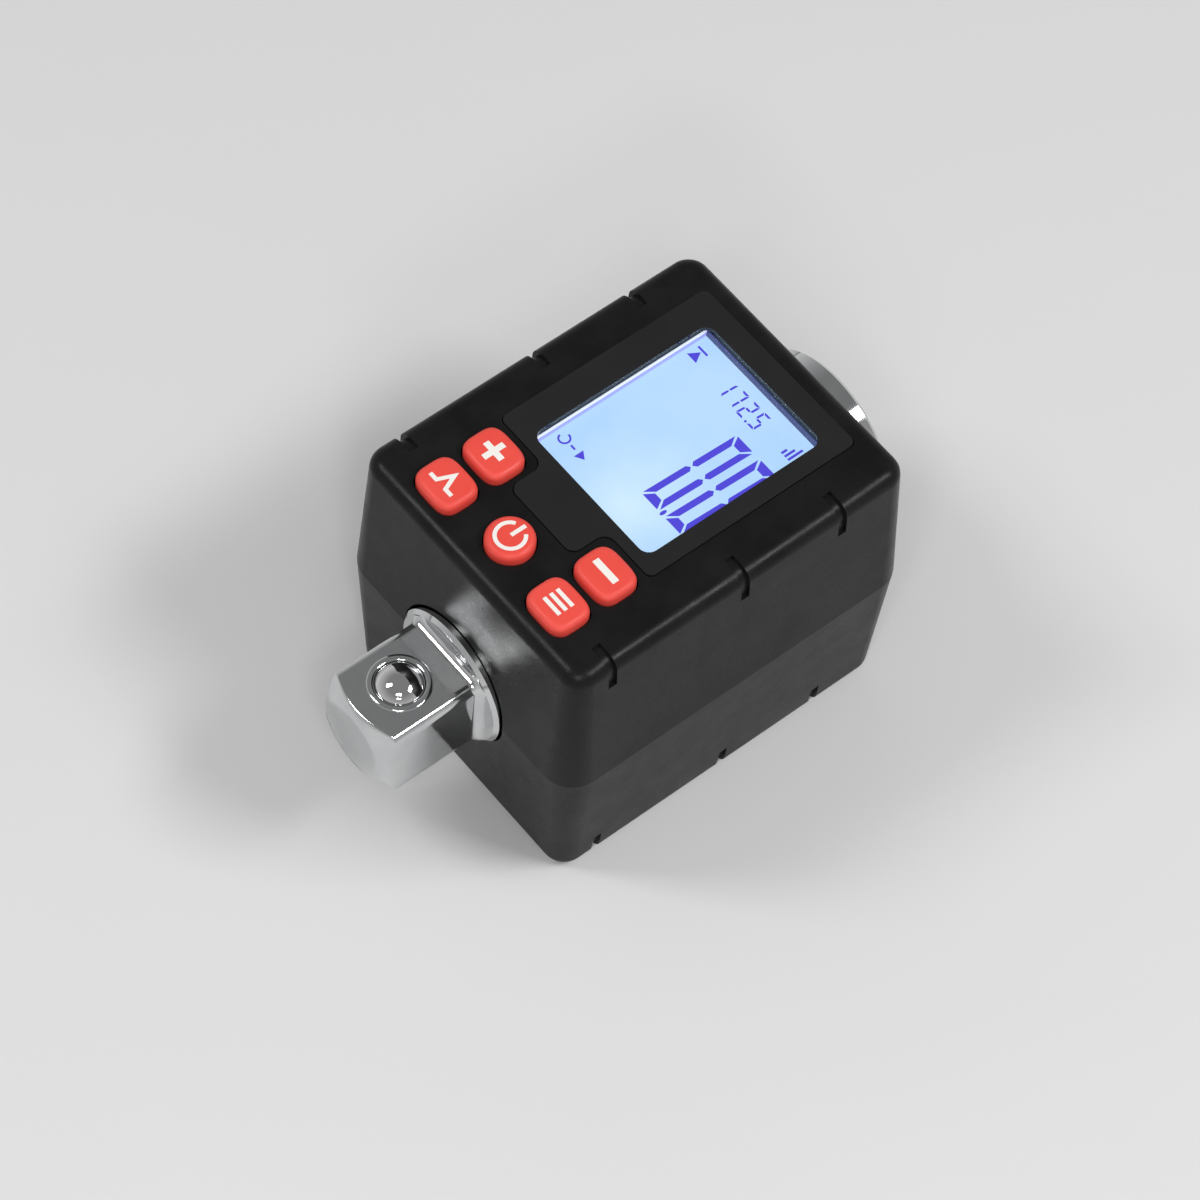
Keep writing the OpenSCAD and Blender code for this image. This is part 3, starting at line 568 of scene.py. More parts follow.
CASE_PLASTIC = SpeckledPlastic("case_plastic", (0.006, 0.006, 0.0062), (0.010, 0.010, 0.0103), (0.3, 0.36),
    specular=0.14, grain=3600.0, depth=2.2e-5, clouds=160.0)
PANEL_BLACK = Finish("panel_black", (0.011, 0.011, 0.012), (0.014, 0.014, 0.015), (0.16, 0.22),
    specular=0.4, grain=9000.0, depth=5e-7, clouds=90.0)
CLEAR_LENS = Finish("clear_lens", (0.02, 0.024, 0.03), (0.025, 0.03, 0.036), (0.02, 0.04),
    grain=400.0, depth=1e-8, extra={"Alpha": 0.1})
DISPLAY_GLASS = LitGlass("display_glass", (0.02, 0.03, 0.04), (0.025, 0.035, 0.045), (0.3, 0.36),
    depth=1e-7)
# Painted glint: a glowing white strip on the window's far wall stands in for the gleam on the lens's polished
# edge.
WINDOW_PAINTED_GLINT = Finish("window_painted_glint", (0.5, 0.52, 0.56), (0.54, 0.56, 0.6), (0.3, 0.4), depth=1e-7,
    extra={"Emission Color": (0.75, 0.82, 1.0, 1), "Emission Strength": 0.8})
# Painted reflection: a glowing lilac strip stands in for the display's light mirrored in the window's far
# wall.
WINDOW_PAINTED_REFLECTION = Finish("window_painted_reflection", (0.2, 0.2, 0.4), (0.22, 0.22, 0.42), (0.3, 0.4), depth=1e-7,
    extra={"Emission Color": (0.34, 0.36, 0.86, 1), "Emission Strength": 0.8})
# Painted shade: a dim glowing dark blue strip stands in for the shadowed edge of the display at the window's
# end.
WINDOW_PAINTED_SHADE = Finish("window_painted_shade", (0.02, 0.02, 0.06), (0.025, 0.025, 0.07), (0.3, 0.4), depth=1e-7,
    extra={"Emission Color": (0.03, 0.035, 0.17, 1), "Emission Strength": 0.8})
SEGMENT_INK = Finish("segment_ink", (0.01, 0.008, 0.06), (0.012, 0.01, 0.07), (0.4, 0.45), depth=1e-7,
    specular=0.2, extra={"Emission Color": (0.09, 0.07, 0.8, 1), "Emission Strength": 1.0})
KEY_RED = Finish("key_red", (0.74, 0.062, 0.045), (0.78, 0.075, 0.055), (0.42, 0.52), specular=0.4,
    grain=7000.0, depth=2e-6, extra={"Subsurface Weight": 0.15, "Subsurface Scale": 0.0006})
KEY_WHITE = Finish("key_white", (0.8, 0.76, 0.72), (0.84, 0.8, 0.76), (0.45, 0.55), depth=1e-6)
MAT_RED = Finish("mat_red", (0.5, 0.04, 0.03), (0.56, 0.05, 0.035), (0.5, 0.6), depth=2e-6)
CHROME = Finish("chrome_steel", (0.6, 0.61, 0.62), (0.66, 0.665, 0.67), (0.05, 0.11), metallic=1.0,
    grain=900.0, depth=1.2e-6, clouds=220.0)
BALL_STEEL = Finish("ball_steel", (0.72, 0.72, 0.73), (0.76, 0.76, 0.77), (0.03, 0.05), metallic=1.0,
    grain=1500.0, depth=3e-7)
SPRING_STEEL = Finish("spring_steel", (0.5, 0.5, 0.51), (0.58, 0.58, 0.58), (0.25, 0.35), metallic=1.0)
SCREW_ZINC = Finish("screw_zinc", (0.55, 0.55, 0.56), (0.62, 0.62, 0.6), (0.25, 0.4), metallic=1.0)
SCREW_BLACK = Finish("screw_black", (0.06, 0.06, 0.065), (0.1, 0.1, 0.1), (0.35, 0.45), metallic=1.0)
CONTACT_NICKEL = Finish("contact_nickel", (0.62, 0.6, 0.55), (0.68, 0.66, 0.61), (0.2, 0.3), metallic=1.0)
FRAME_PLASTIC = Finish("frame_plastic", (0.03, 0.03, 0.032), (0.04, 0.04, 0.042))
LIGHT_GUIDE = Finish("light_guide", (0.85, 0.88, 0.92), (0.8, 0.84, 0.9), (0.3, 0.4))
ZEBRA_RUBBER = Finish("zebra_rubber", (0.6, 0.25, 0.28), (0.65, 0.3, 0.33), (0.5, 0.6))
BOARD_GREEN = Finish("board_green", (0.015, 0.16, 0.07), (0.02, 0.2, 0.09), (0.25, 0.35), grain=2500.0)
CHIP_BLACK = Finish("chip_black", (0.015, 0.015, 0.016), (0.025, 0.025, 0.026), (0.45, 0.6))
CONNECTOR_CREAM = Finish("connector_cream", (0.75, 0.7, 0.58), (0.7, 0.65, 0.52))
GAUGE_FILM = Finish("gauge_film", (0.6, 0.3, 0.06), (0.65, 0.35, 0.08), (0.2, 0.3))
SEAL_RUBBER = Finish("seal_rubber", (0.012, 0.012, 0.012), (0.02, 0.02, 0.02), (0.5, 0.65))
CELL_JACKET = Finish("cell_jacket", (0.03, 0.09, 0.26), (0.04, 0.1, 0.28), (0.2, 0.3))
WIRE_RED = Finish("wire_red", (0.5, 0.015, 0.015), (0.55, 0.02, 0.02), (0.35, 0.45))


def dress(frame: dict, finishes: dict[str, Finish]) -> None:
    """Gives solids of the frame their finish, joins their triangles and shades them smooth.

    Args:
        finishes: The finish of each solid, by its name.
    """
    for name, finish in finishes.items():
        solid = frame["nodes"][name]
        solid.data.materials.clear()
        solid.data.materials.append(finish.material())
        smooth_piece(solid)
        LOG.info("solid %s is dressed in %s", name, finish.name)


# ---------------------------------------------------------------- sub-assemblies


@dataclass
class Studio:
    """Floor, soft lamps, sky and camera."""

    floor_size: float = 6.0
    floor_colour: tuple[float, float, float] = (0.68, 0.68, 0.68)
    sky_low: float = 0.7
    sky_high: float = 0.25
    camera_place: tuple[float, float, float] = (-0.2153, -0.2277, 0.5121)
    camera_right: tuple[float, float, float] = (0.7776, -0.6267, 0.0513)
    camera_up: tuple[float, float, float] = (0.5092, 0.6755, 0.5333)
    camera_back: tuple[float, float, float] = (-0.3689, -0.3885, 0.8444)
    lens: float = 138.5

    def build(self) -> None:
        """Makes the whole studio."""
        self.camera()
        self.floor()
        self.sky()
        aim = (0.0, 0.0, 0.03)
        self.lamp("near_edge_box", (0.29, -0.38, 0.62), aim, (0.3, 0.14), 2.6)
        self.lamp("front_edge_box", (-0.36, 0.30, 0.64), aim, (0.14, 0.26), 1.6)
        self.lamp("window_left", (-0.36, -0.26, 0.60), aim, (0.07, 0.09), 0.55)
        self.lamp("window_middle", (-0.25, -0.35, 0.60), aim, (0.07, 0.09), 0.55)
        self.lamp("window_low", (-0.38, -0.42, 0.47), aim, (0.16, 0.05), 0.5)

    def camera(self) -> None:
        """Places the camera where the photograph's was, from its solved axes."""
        data = bpy.data.cameras.new("camera")
        data.sensor_width = 36.0
        data.lens = self.lens
        data.clip_start, data.clip_end = 0.01, 50.0
        camera = bpy.data.objects.new("camera", data)
        bpy.context.scene.collection.objects.link(camera)
        axes = np.column_stack([self.camera_right, self.camera_up, self.camera_back, self.camera_place])
        camera.matrix_world = Matrix(np.vstack([axes, [0, 0, 0, 1]]).tolist())
        bpy.context.scene.camera = camera

    def floor(self) -> None:
        """Makes a plain pale floor at the height of the adapter's base."""
        half = self.floor_size / 2
        mesh = bpy.data.meshes.new("floor")
        corners = [(-half, -half, 0), (half, -half, 0), (half, half, 0), (-half, half, 0)]
        mesh.from_pydata(corners, [], [(0, 1, 2, 3)])
        colour = self.floor_colour
        paper = Finish("floor_paper", colour, tuple(c * 0.985 for c in colour), (0.75, 0.85), specular=0.2,
            grain=800.0, depth=1e-5, clouds=8.0)
        mesh.materials.append(paper.material())
        floor = bpy.data.objects.new("floor", mesh)
        bpy.context.scene.collection.objects.link(floor)

    def sky(self) -> None:
        """Lights the world with a grey that pales towards the horizon."""
        world = bpy.data.worlds.new("studio_sky")
        bpy.context.scene.world = world
        world.use_nodes = True
        w = Wiring(world.node_tree)
        place = w.add("ShaderNodeTexCoord")
        split = w.add("ShaderNodeSeparateXYZ")
        level = w.add("ShaderNodeMapRange", {
            "From Min": 0.0, "From Max": 0.75, "To Min": self.sky_low, "To Max": self.sky_high})
        w.join(place.outputs["Generated"], split.inputs["Vector"])
        w.join(split.outputs["Z"], level.inputs["Value"])
        w.join(level.outputs["Result"], world.node_tree.nodes["Background"].inputs["Color"])

    def lamp(self, name: str, place: tuple[float, float, float], aim: tuple[float, float, float],
             size: tuple[float, float], power: float) -> None:
        """Adds a soft lamp.

        Args:
            name: Its name.
            place: Where it stands, in metres.
            aim: What it faces.
            size: Its width and height.
            power: Its power in watts.
        """
        data = bpy.data.lights.new(name, "AREA")
        data.shape = "RECTANGLE"
        data.size, data.size_y = size
        data.energy = power
        lamp = bpy.data.objects.new(name, data)
        bpy.context.scene.collection.objects.link(lamp)
        back = np.array(place) - np.array(aim)
        back /= np.linalg.norm(back)
        right = np.cross((0.0, 0.0, 1.0), back)
        right /= np.linalg.norm(right)
        up = np.cross(back, right)
        axes = np.column_stack([right, up, back, place])
        lamp.matrix_world = Matrix(np.vstack([axes, [0, 0, 0, 1]]).tolist())


@dataclass
class CaseShells:
    """The two moulded shells with their door, screws and seals."""

    def build(self, frame: dict) -> None:
        """Dresses the shells and what closes them."""
        dress(frame, {
            "upper_housing": CASE_PLASTIC, "lower_housing": CASE_PLASTIC, "battery_door": CASE_PLASTIC,
            "housing_screws": SCREW_BLACK, "door_screw": SCREW_BLACK, "front_seal": SEAL_RUBBER,
            "rear_seal": SEAL_RUBBER,
        })


@dataclass
class Digit:
    """A slanted seven-segment digit, drawn to the right and up from its lower left corner."""

    width: float
    height: float
    side: float
    end: float
    gap: float
    slant: float = 0.03
    lit: dict[str, str] = field(default_factory=lambda: {
        "0": "abcdef", "1": "bc", "2": "abged", "5": "afgcd", "7": "abc"})

    def outlines(self, sign: str, right: float, up: float) -> list[np.ndarray]:
        """Outlines of the lit segments of one sign.

        The ends of neighbouring segments are cut on a slant and stand a gap apart. A point moves to
        the right by the slant times its height.

        Args:
            sign: The digit.
            right: Place of its lower left corner.
            up: Height of that corner.

        Returns:
            One outline for each lit segment.
        """
        w, h, s, e, g = self.width, self.height, self.side, self.end, self.gap
        half = h / 2
        left_top = [(0, h - g), (s, h - e - g), (s, half + s / 2 + g / 2), (s / 2, half + g / 2),
                    (0, half + g / 2 + s / 2)]
        shapes = {
            "a": [(g, h), (s + g / 2, h - e), (w - s - g / 2, h - e), (w - g, h)],
            "d": [(g, 0), (w - g, 0), (w - s - g / 2, e), (s + g / 2, e)],
            "g": [(s / 2 + g, half), (s + g, half - e / 2), (w - s - g, half - e / 2),
                  (w - s / 2 - g, half), (w - s - g, half + e / 2), (s + g, half + e / 2)],
            "f": left_top,
            "e": [(x, h - y) for x, y in left_top],
            "b": [(w - x, y) for x, y in left_top],
            "c": [(w - x, h - y) for x, y in left_top],
        }
        made = []
        for letter in self.lit[sign]:
            points = np.array(shapes[letter], dtype=float) + (right, up)
            points[:, 0] += self.slant * (points[:, 1] - up)
            made.append(anticlockwise(points))
        return made


@dataclass
class FacePanel:
    """The gloss panel, its clear window and the lit display with its reading."""

    glass_level: float = 20.5
    ink: float = 0.03
    near: tuple[float, float] = (0.78, 0.9)
    window: tuple[float, float, float, float] = (20.6, 47.78, -10.9, 10.58)
    # Thickness of the strips of painted light on the window's far walls, the height where the painted glint
    # meets the painted reflection, and their top.
    painted_strips: tuple[float, float, float] = (0.12, 21.3, 21.8)

    def build(self, frame: dict) -> None:
        """Dresses the panel, draws the reading and paints light on the window's far walls."""
        dress(frame, {
            "face_plate": PANEL_BLACK, "display_lens": CLEAR_LENS, "lcd_glass": DISPLAY_GLASS,
            "lcd_frame": FRAME_PLASTIC, "backlight": LIGHT_GUIDE, "zebra_strip": ZEBRA_RUBBER,
        })
        self.draw("reading_main", self.main_reading())
        self.draw("reading_peak", self.peak_reading())
        self.draw("reading_signs", self.signs())
        self.paint_window_light()

    def paint_window_light(self) -> None:
        """Paints light on the two far walls of the window as glowing strips: a white painted glint over a
        lilac painted reflection of the display across it, and a dark blue painted shade at its end.
        """
        x0, x1, y0, y1 = self.window
        thick, middle, top = self.painted_strips
        across = np.array([(x0, y1 - thick), (x1 - thick, y1 - thick), (x1 - thick, y1), (x0, y1)])
        at_end = np.array([(x1 - thick, y0), (x1, y0), (x1, y1), (x1 - thick, y1)])
        # Three glowing strips of painted light: painted glint, painted reflection and painted shade.
        for name, outline, low, high, finish in (
                ("window_painted_glint", across, middle, top, WINDOW_PAINTED_GLINT),
                ("window_painted_reflection", across, self.glass_level, middle, WINDOW_PAINTED_REFLECTION),
                ("window_painted_shade", at_end, self.glass_level, top, WINDOW_PAINTED_SHADE)):
            add_piece(name, plate_mesh(name, [outline], low, high), finish.material(), Body.CASE)

    def draw(self, name: str, outlines: list[np.ndarray]) -> None:
        """Lays outlines on the display's glass as a thin layer of ink.

        Args:
            name: Name of the piece.
            outlines: The outlines in plan.
        """
        mesh = plate_mesh(name, outlines, self.glass_level, self.glass_level + self.ink)
        add_piece(name, mesh, SEGMENT_INK.material(), Body.CASE)

    def main_reading(self) -> list[np.ndarray]:
        """Two large noughts with a point between them, the second cut by the window's edge.

        Returns:
            Outlines in plan.
        """
        digit = Digit(3.3, 14.8, 0.92, 1.3, 0.26)
        shapes = digit.outlines("0", 0, 0) + digit.outlines("0", 4.45, 0)
        point = arc_points(1.0, 0, 330, 11) * (0.26, 0.55) + (3.85, 0.3)
        return signs_in_plan(shapes + [point], 25.5 + self.near[0], -3.85 + self.near[1])

    def peak_reading(self) -> list[np.ndarray]:
        """A small reading of four digits.

        Returns:
            Outlines in plan.
        """
        digit = Digit(1.35, 2.9, 0.3, 0.3, 0.1, 0.05)
        shapes = [o for i, c in enumerate("1725") for o in digit.outlines(c, i * 2.1, 0)]
        point = arc_points(0.18, 0, 330, 11) + (6.05, 0.1)
        return signs_in_plan(shapes + [point], 42.4 + self.near[0], 2.7 + self.near[1])

    def signs(self) -> list[np.ndarray]:
        """Small signs: a hold mark, a ring with a dash and a wedge, and three rising bars.

        Returns:
            Outlines in plan.
        """
        hold = [np.array([(-1.3, -0.7), (0.5, -0.7), (-0.4, 0.8)]),
                band(np.array([(-1.3, 1.15), (0.5, 1.15)]), 0.3)]
        ring = [band(arc_points(0.75, 100, -170, 20) + (-1.7, 0.0), 0.26),
                band(np.array([(-0.4, 0.0), (0.4, 0.0)]), 0.28),
                np.array([(1.1, -0.75), (2.3, 0.0), (1.1, 0.75)])]
        bars = [band(np.array([(0.62 * i, 0.0), (0.62 * i, 0.9 + 0.75 * i)]), 0.34) for i in range(3)]
        return (signs_in_plan(hold, 43.9 + self.near[0], 7.6 + self.near[1])
                + signs_in_plan(ring, 23.0 + self.near[0], 6.4 + self.near[1])
                + signs_in_plan(bars, 43.0 + self.near[0], -9.7 + self.near[1]))


@dataclass
class Keypad:
    """Five red keys with white signs, on a mat with a thin cone under each."""

    length: float = 6.0
    width: float = 7.2
    squareness: float = 3.6
    power_radius: float = 3.2
    rows: tuple[float, float] = (6.8, 14.05)
    column: float = 10.85
    power_x: float = 8.05
    foot: float = 18.0
    flange: tuple[float, float, float] = (19.65, 20.45, 0.3)
    waist: float = 0.3
    top: float = 24.2
    rounding: float = 0.85
    crown: float = 0.06
    sides: int = 128
    mark_lift: float = 0.015
    mark_sink: float = 0.3

    def build(self, frame: dict) -> None:
        """Makes the keys and their signs, and dresses the mat and the cones."""
        dress(frame, {name: MAT_RED for name in
                      ("keypad_mat", "web_plus", "web_minus", "web_power", "web_mode", "web_peak")})
        front, rear = self.rows
        self.key("plus", rear, self.column, Body.PLUS, Mark.PLUS)
        self.key("minus", rear, -self.column, Body.MINUS, Mark.MINUS)
        self.key("peak", front, self.column, Body.PEAK, Mark.PEAK)
        self.key("mode", front, -self.column, Body.MODE, Mark.MENU)
        self.key("power", self.power_x, 0.0, Body.POWER, Mark.POWER)

    def outline(self, round_key: bool, inset: np.ndarray) -> np.ndarray:
        """Outlines of a key, one for each inset.

        A moulded key is a superellipse: each coordinate is its half size times the cosine or sine to
        the power of two over the squareness, with its sign kept. The power key is a circle.

        Args:
            round_key: Whether the key is round.
            inset: How far each outline is drawn in.

        Returns:
            Array of insets by points by two.
        """
        angle = np.linspace(0, 2 * np.pi, self.sides, endpoint=False)
        turn = np.stack([np.cos(angle), np.sin(angle)], axis=1)
        if round_key:
            half = np.array([self.power_radius, self.power_radius])
            shape = turn
        else:
            half = np.array([self.length, self.width]) / 2
            shape = np.sign(turn) * np.abs(turn) ** (2 / self.squareness)
        return shape[None] * (half[None] - np.asarray(inset)[:, None])[:, None]

    def profile(self, half: float) -> tuple[np.ndarray, np.ndarray]:
        """Insets and heights from a key's foot to its crown.

        The side is upright, the shoulder a quarter circle and the crown a low dome whose drop is the
        square of its share of the half width.

        Args:
            half: Half width of the key.

        Returns:
            The insets and the heights.
        """
        low, high, out = self.flange
        turn = np.radians(np.linspace(0, 90, 15))
        shoulder_in = self.rounding * (1 - np.cos(turn))
        shoulder_z = self.top - self.crown - self.rounding * (1 - np.sin(turn))
        rest = half - self.rounding
        share = np.linspace(1, 0.02, 9)[1:]
        crown_in = half - rest * share
        crown_z = self.top - self.crown * share**2
        inset = np.concatenate([[self.waist, self.waist, -out, -out, 0, 0], shoulder_in, crown_in])
        level = np.concatenate([[self.foot, low, low, high, high, high + 0.3], shoulder_z, crown_z])
        return inset, level

    def key(self, name: str, x: float, y: float, body: Body, mark: Mark) -> None:
        """Makes one key and the sign on it.

        Args:
            name: Name of the key.
            x: Place along the shaft.
            y: Place across it.
            body: Body that it rides on.
            mark: Its sign.
        """
        round_key = mark is Mark.POWER
        half = self.power_radius if round_key else self.length / 2
        inset, level = self.profile(half)
        plan = self.outline(round_key, inset) + (x, y)
        rings = np.concatenate([plan, np.broadcast_to(level[:, None, None], (*plan.shape[:2], 1))], axis=2)
        mesh = stacked_mesh(f"key_{name}_cap", to_row(rings))
        add_piece(f"key_{name}_cap", mesh, KEY_RED.material(), body, (f"key_{name}",))
        signs = signs_in_plan(self.sign(mark), x, y)
        mesh = plate_mesh(f"key_{name}_sign", signs, self.top - self.mark_sink, self.top + self.mark_lift)
        add_piece(f"key_{name}_sign", mesh, KEY_WHITE.material(), body)

    def sign(self, mark: Mark) -> list[np.ndarray]:
        """Outlines of a sign, to the right and up.

        Args:
            mark: Which sign.

        Returns:
            Its outlines.
        """
        if mark is Mark.PLUS:
            a, t = 1.6, 0.43
            return [np.array([(-a, -t), (-t, -t), (-t, -a), (t, -a), (t, -t), (a, -t),
                              (a, t), (t, t), (t, a), (-t, a), (-t, t), (-a, t)])]
        if mark is Mark.MINUS:
            return [band(np.array([(-2.0, 0.0), (2.0, 0.0)]), 0.95)]
        if mark is Mark.POWER:
            ring = band(arc_points(1.9, 122, 418, 40), 0.52)
            return [ring, band(np.array([(0.0, 0.1), (0.0, 2.35)]), 0.55)]
        if mark is Mark.MENU:
            return [band(np.array([(-1.5, v), (1.5, v)]), 0.55) for v in (-1.0, 0.0, 1.0)]
        return [band(np.array([(-2.1, -0.9), (-0.9, -0.9), (0.0, 1.2), (0.9, -0.9), (2.1, -0.9)]), 0.55)]


@dataclass
class DriveShaft:
    """The chrome shaft from tip to socket, with its spring ball, its seat ring and the gauges."""

    half: float = 6.35
    edge: float = 1.25
    soften: float = 0.4
    tip: float = -15.5
    tip_radius: float = 5.6
    tip_run: float = 0.6
    collar: float = 9.6
    collar_face: float = -0.7
    cove: float = 1.3
    chamfer: float = 0.5
    grip: tuple[float, float] = (9.8, 8.5)
    gauge: tuple[float, float, float] = (11.8, 41.0, 7.0)
    socket: tuple[float, float, float] = (43.0, 61.5, 12.05)
    bore: tuple[float, float, float] = (44.9, 6.4, 0.6)
    recess_radius: float = 2.1
    recess_reach: float = 6.9
    ball_x: float = -8.4
    ball_radius: float = 3.97
    ball_stand: float = 1.5
    ball_play: float = 0.06
    ring: tuple[float, float, float] = (3.2, 4.15, 0.24)
    spring: tuple[float, float, float, float, int] = (-3.95, -1.4, 2.6, 0.25, 5)

    def build(self, frame: dict) -> None:
        """Makes the shaft, its ball, ring and spring, and dresses the gauges."""
        dress(frame, {"strain_gauges": GAUGE_FILM, "gauge_flex": GAUGE_FILM})
        self.shaft()
        self.seat_ring()
        self.ball()
        self.coil()

    def angles(self) -> np.ndarray:
        """Angles round the shaft, even along the flats and close together at the four long edges.

        Returns:
            The angles in radians, rising through one turn.
        """
        inner = self.half - self.edge
        across = np.arctan2(np.linspace(-inner, inner, 31), self.half)
        turn = np.radians(np.linspace(0, 90, 14)[1:-1])
        corner = np.arctan2(inner + self.edge * np.sin(turn), inner + self.edge * np.cos(turn))
        quarter = np.concatenate([across, corner])
        return np.concatenate([quarter + k * np.pi / 2 for k in range(4)])

    @staticmethod
    def square_radius(angle: np.ndarray, half: np.ndarray, corner: np.ndarray) -> np.ndarray:
        """Distance from the axis to a rounded square.

        On a flat it is the half size over the cosine. At a corner it is the far root of the circle
        round the corner's own centre.

        Args:
            angle: Angles round the axis.
            half: Half size of the square at each station, as a column.
            corner: Radius of its corners at each station, as a column.

        Returns:
            Array of stations by angles.
        """
        fold = np.abs((angle + np.pi / 4) % (np.pi / 2) - np.pi / 4)[None]
        inner = half - corner
        middle = inner * (np.cos(fold) + np.sin(fold))
        root = middle + np.sqrt(np.maximum(middle**2 - 2 * inner**2 + corner**2, 0.0))
        return np.where(np.tan(fold) * half > inner, root, half / np.cos(fold))

    def stations(self) -> np.ndarray:
        """Cross-sections from the middle of the tip, over the shaft, into the socket's bore.

        Returns:
            Rows of place along the shaft, radius of the round, half size of the square and radius of
            its corners. The section is what round and square share.
        """
        far = 40.0
        h, e = self.half, self.edge
        rows = [(self.tip, r, h, e) for r in (0.3, 2.0, 4.0, self.tip_radius)]
        rise = np.linspace(0.0, 2.3, 40)[1:]
        rows += [(self.tip + d, self.tip_radius + d / self.tip_run, h, e) for d in rise]
        begin = self.collar_face - self.cove
        rows += [(x, far, h, e) for x in np.linspace(self.tip + 2.6, begin, 18)]
        turn = np.radians(np.linspace(0, 88, 16))[1:]
        rim = self.collar - self.chamfer
        rows += [(begin + self.cove * math.sin(t), rim, h + self.cove * (1 - math.cos(t)), e) for t in turn]
        rows += [(self.collar_face, rim, far, e), (self.collar_face + self.chamfer, self.collar, far, e)]
        rows += [(self.grip[0], self.collar, far, e), (self.grip[0], self.grip[1], far, e)]
        rows += [(self.gauge[0], self.gauge[2], far, e), (self.gauge[1], self.gauge[2], far, e)]
        back, end, r = self.socket
        rows += [(back, r, far, e), (end - self.chamfer, r, far, e), (end, r - self.chamfer, far, e)]
        deep, b, c = self.bore
        rows += [(end, far, b + self.chamfer, c + self.chamfer), (end - self.chamfer, far, b, c)]
        rows += [(x, far, b, c) for x in np.linspace(end - 2.0, deep, 8)]
        rows += [(deep, q, b, c) for q in (5.5, 3.0, 0.3)]
        return np.array(rows)

    def shaft(self) -> None:
        """Makes the shaft and cuts the ball's bore and the socket's four recesses.

        The radius is the smaller of round and square, blended where they cross: it is lowered by a
        quarter of the blend's width times the square of how far the two are inside that width.
        """
        x, rounds, half, corner = (column[:, None] for column in self.stations().T)
        angle = self.angles()
        square = self.square_radius(angle, half, corner)
        near = np.maximum(self.soften - np.abs(square - rounds), 0.0) / self.soften
        radius = np.minimum(square, rounds) - near**2 * self.soften / 4
        rings = np.stack(
            [np.broadcast_to(x, radius.shape), radius * np.cos(angle), radius * np.sin(angle)], axis=2)
        mesh = stacked_mesh("shaft_skin", to_row(rings))
        shaft = add_piece("shaft_polished", mesh, CHROME.material(), Body.CASE,
            ("drive_shaft",))
        ball_z = self.half + self.ball_stand - self.ball_radius
        bottom = self.spring[0] - self.ball_play
        bore_radius = self.ball_radius + self.ball_play
        cut_round(shaft, self.post((self.ball_x, 0.0, bottom), bore_radius, self.half + 1 - bottom, 2))
        mid = (self.bore[0] + self.socket[1]) / 2
        reach = 2 * self.recess_reach
        cut_round(shaft, self.post((mid, 0.0, -self.recess_reach), self.recess_radius, reach, 2))
        cut_round(shaft, self.post((mid, -self.recess_reach, 0.0), self.recess_radius, reach, 1))
        smooth_piece(shaft)
        LOG.info("shaft bored for a ball whose middle is %.2f mm over the axis", ball_z)

    @staticmethod
    def post(foot: tuple[float, float, float], radius: float, length: float, axis: int) -> bpy.types.Mesh:
        """A round post for cutting: circles of one radius at its foot and its head.

        Args:
            foot: Middle of its foot.
            radius: Its radius.
            length: Its length.
            axis: Direction that it runs in, 1 for y and 2 for z.

        Returns:
            The mesh.
        """
        circle = arc_points(radius, 0, 360, 96)[:-1]
        rings = np.stack([np.column_stack([circle, np.full(len(circle), z)]) for z in (0.0, length)])
        if axis == 1:
            rings = rings[:, :, [1, 2, 0]]
        return stacked_mesh("post", to_row(rings + foot))

    def turned(self, section: np.ndarray, sides: int = 128) -> np.ndarray:
        """Turns a section round the ball's upright axis: its radius times cosine and sine, at its height.

        Args:
            section: Rows of radius and height.
            sides: Points in each ring.

        Returns:
            One ring for each row.
        """
        turn = np.linspace(0, 2 * np.pi, sides, endpoint=False)
        height = np.broadcast_to(section[:, 1:], (len(section), sides))
        out = section[:, :1]
        return np.stack([self.ball_x + out * np.cos(turn), out * np.sin(turn), height], axis=2)

    def seat_ring(self) -> None:
        """Makes the low ring of metal staked over the ball.

        Its section is a closed loop: an arched crest, a lip that leans over the ball and a root that
        fills the mouth of the bore. It turns round the ball's upright axis.
        """
        crest = np.radians(np.linspace(180, 0, 13))
        inner, outer, high = self.ring
        arch = np.column_stack([
            (inner + outer) / 2 + (outer - inner) / 2 * np.cos(crest),
            self.half - 0.02 + high * np.sin(crest),
        ])
        section = np.concatenate([arch, [(4.1, self.half - 0.25), (3.95, 6.0), (3.42, 6.0), (3.28, 6.2)]])
        rings = self.turned(section)
        mesh = bpy.data.meshes.new("seat_ring")
        faces = ring_faces(len(section) + 1, rings.shape[1]) % (len(section) * rings.shape[1])
        mesh.from_pydata(to_row(rings.reshape(-1, 3)).tolist(), [], faces[:, ::-1].tolist())
        ring = add_piece("seat_ring", mesh, CHROME.material(), Body.CASE)
        smooth_piece(ring)

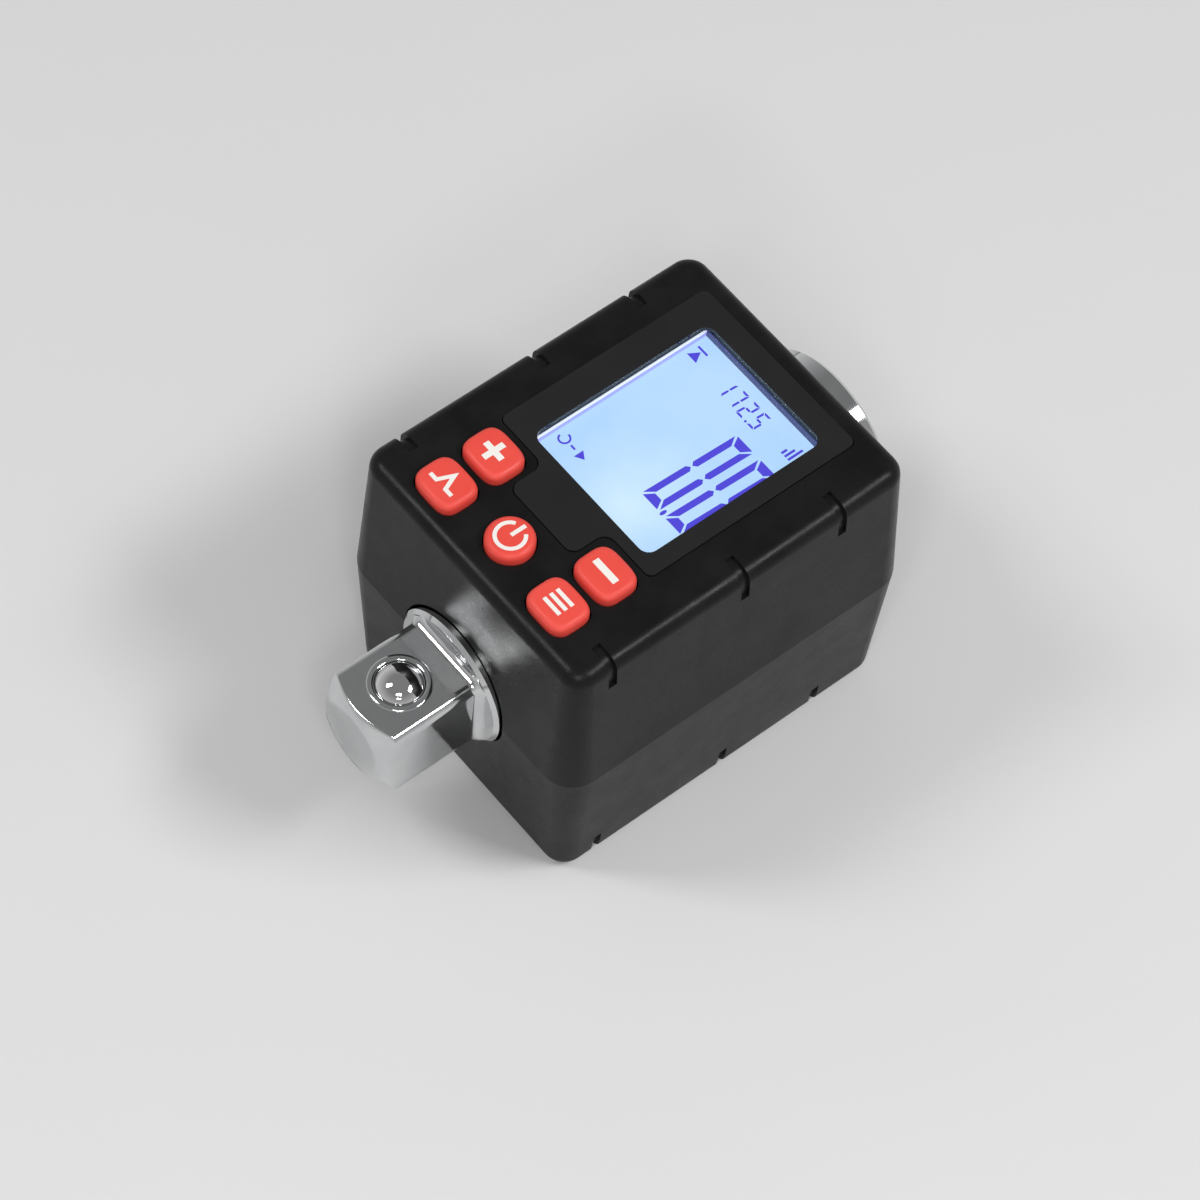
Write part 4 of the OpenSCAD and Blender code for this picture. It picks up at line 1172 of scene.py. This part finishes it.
    def ball(self) -> None:
        """Makes the ball: rings at even angles from pole to pole, a little short of each."""
        rise = np.radians(np.linspace(-89, 89, 90))
        middle = self.half + self.ball_stand - self.ball_radius
        section = self.ball_radius * np.column_stack([np.cos(rise), np.sin(rise)]) + (0.0, middle)
        mesh = stacked_mesh("ball_polished", to_row(self.turned(section)))
        add_piece("ball_polished", mesh, BALL_STEEL.material(), Body.BALL, ("detent_ball",))

    def coil(self) -> None:
        """Makes the spring under the ball: a round wire carried along a rising helix.

        A point of the wire is the helix's point plus the wire's radius times the cosine of its angle
        outwards and the sine downwards.
        """
        low, high, radius, wire, turns = self.spring
        share = np.linspace(0, 1, turns * 40 + 1)[:, None]
        turn = 2 * np.pi * turns * share
        round_wire = np.linspace(0, 2 * np.pi, 12, endpoint=False)[None]
        out = radius + wire * np.cos(round_wire)
        rings = np.stack([
            self.ball_x + out * np.cos(turn),
            out * np.sin(turn),
            low + wire + (high - low - 2 * wire) * share - wire * np.sin(round_wire),
        ], axis=2)
        add_piece("detent_coil", stacked_mesh("detent_coil", to_row(rings)), SPRING_STEEL.material(),
            Body.CASE, ("detent_spring",))


@dataclass
class Electronics:
    """Board with its packages, buzzer, plug and screws."""

    def build(self, frame: dict) -> None:
        """Dresses the board and what stands on it."""
        dress(frame, {
            "circuit_board": BOARD_GREEN, "chips": CHIP_BLACK, "buzzer": CHIP_BLACK,
            "flex_connector": CONNECTOR_CREAM, "board_screws": SCREW_ZINC,
        })


@dataclass
class PowerPack:
    """Two cells with their contacts and leads."""

    def build(self, frame: dict) -> None:
        """Dresses the cells, contacts, springs and leads."""
        dress(frame, {
            "battery_cells": CELL_JACKET, "contact_plates": CONTACT_NICKEL, "battery_springs": SPRING_STEEL,
            "battery_wires": WIRE_RED,
        })


def main() -> None:
    """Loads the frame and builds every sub-assembly."""
    logging.basicConfig(level=logging.INFO, format="%(name)s: %(message)s")
    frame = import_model()
    Studio().build()
    for assembly in (CaseShells(), FacePanel(), Keypad(), DriveShaft(), Electronics(), PowerPack()):
        LOG.info("building %s", type(assembly).__name__)
        assembly.build(frame)
    bpy.context.scene.view_settings.view_transform = "Standard"
    bpy.context.view_layer.update()


if __name__ == "__main__":
    main()
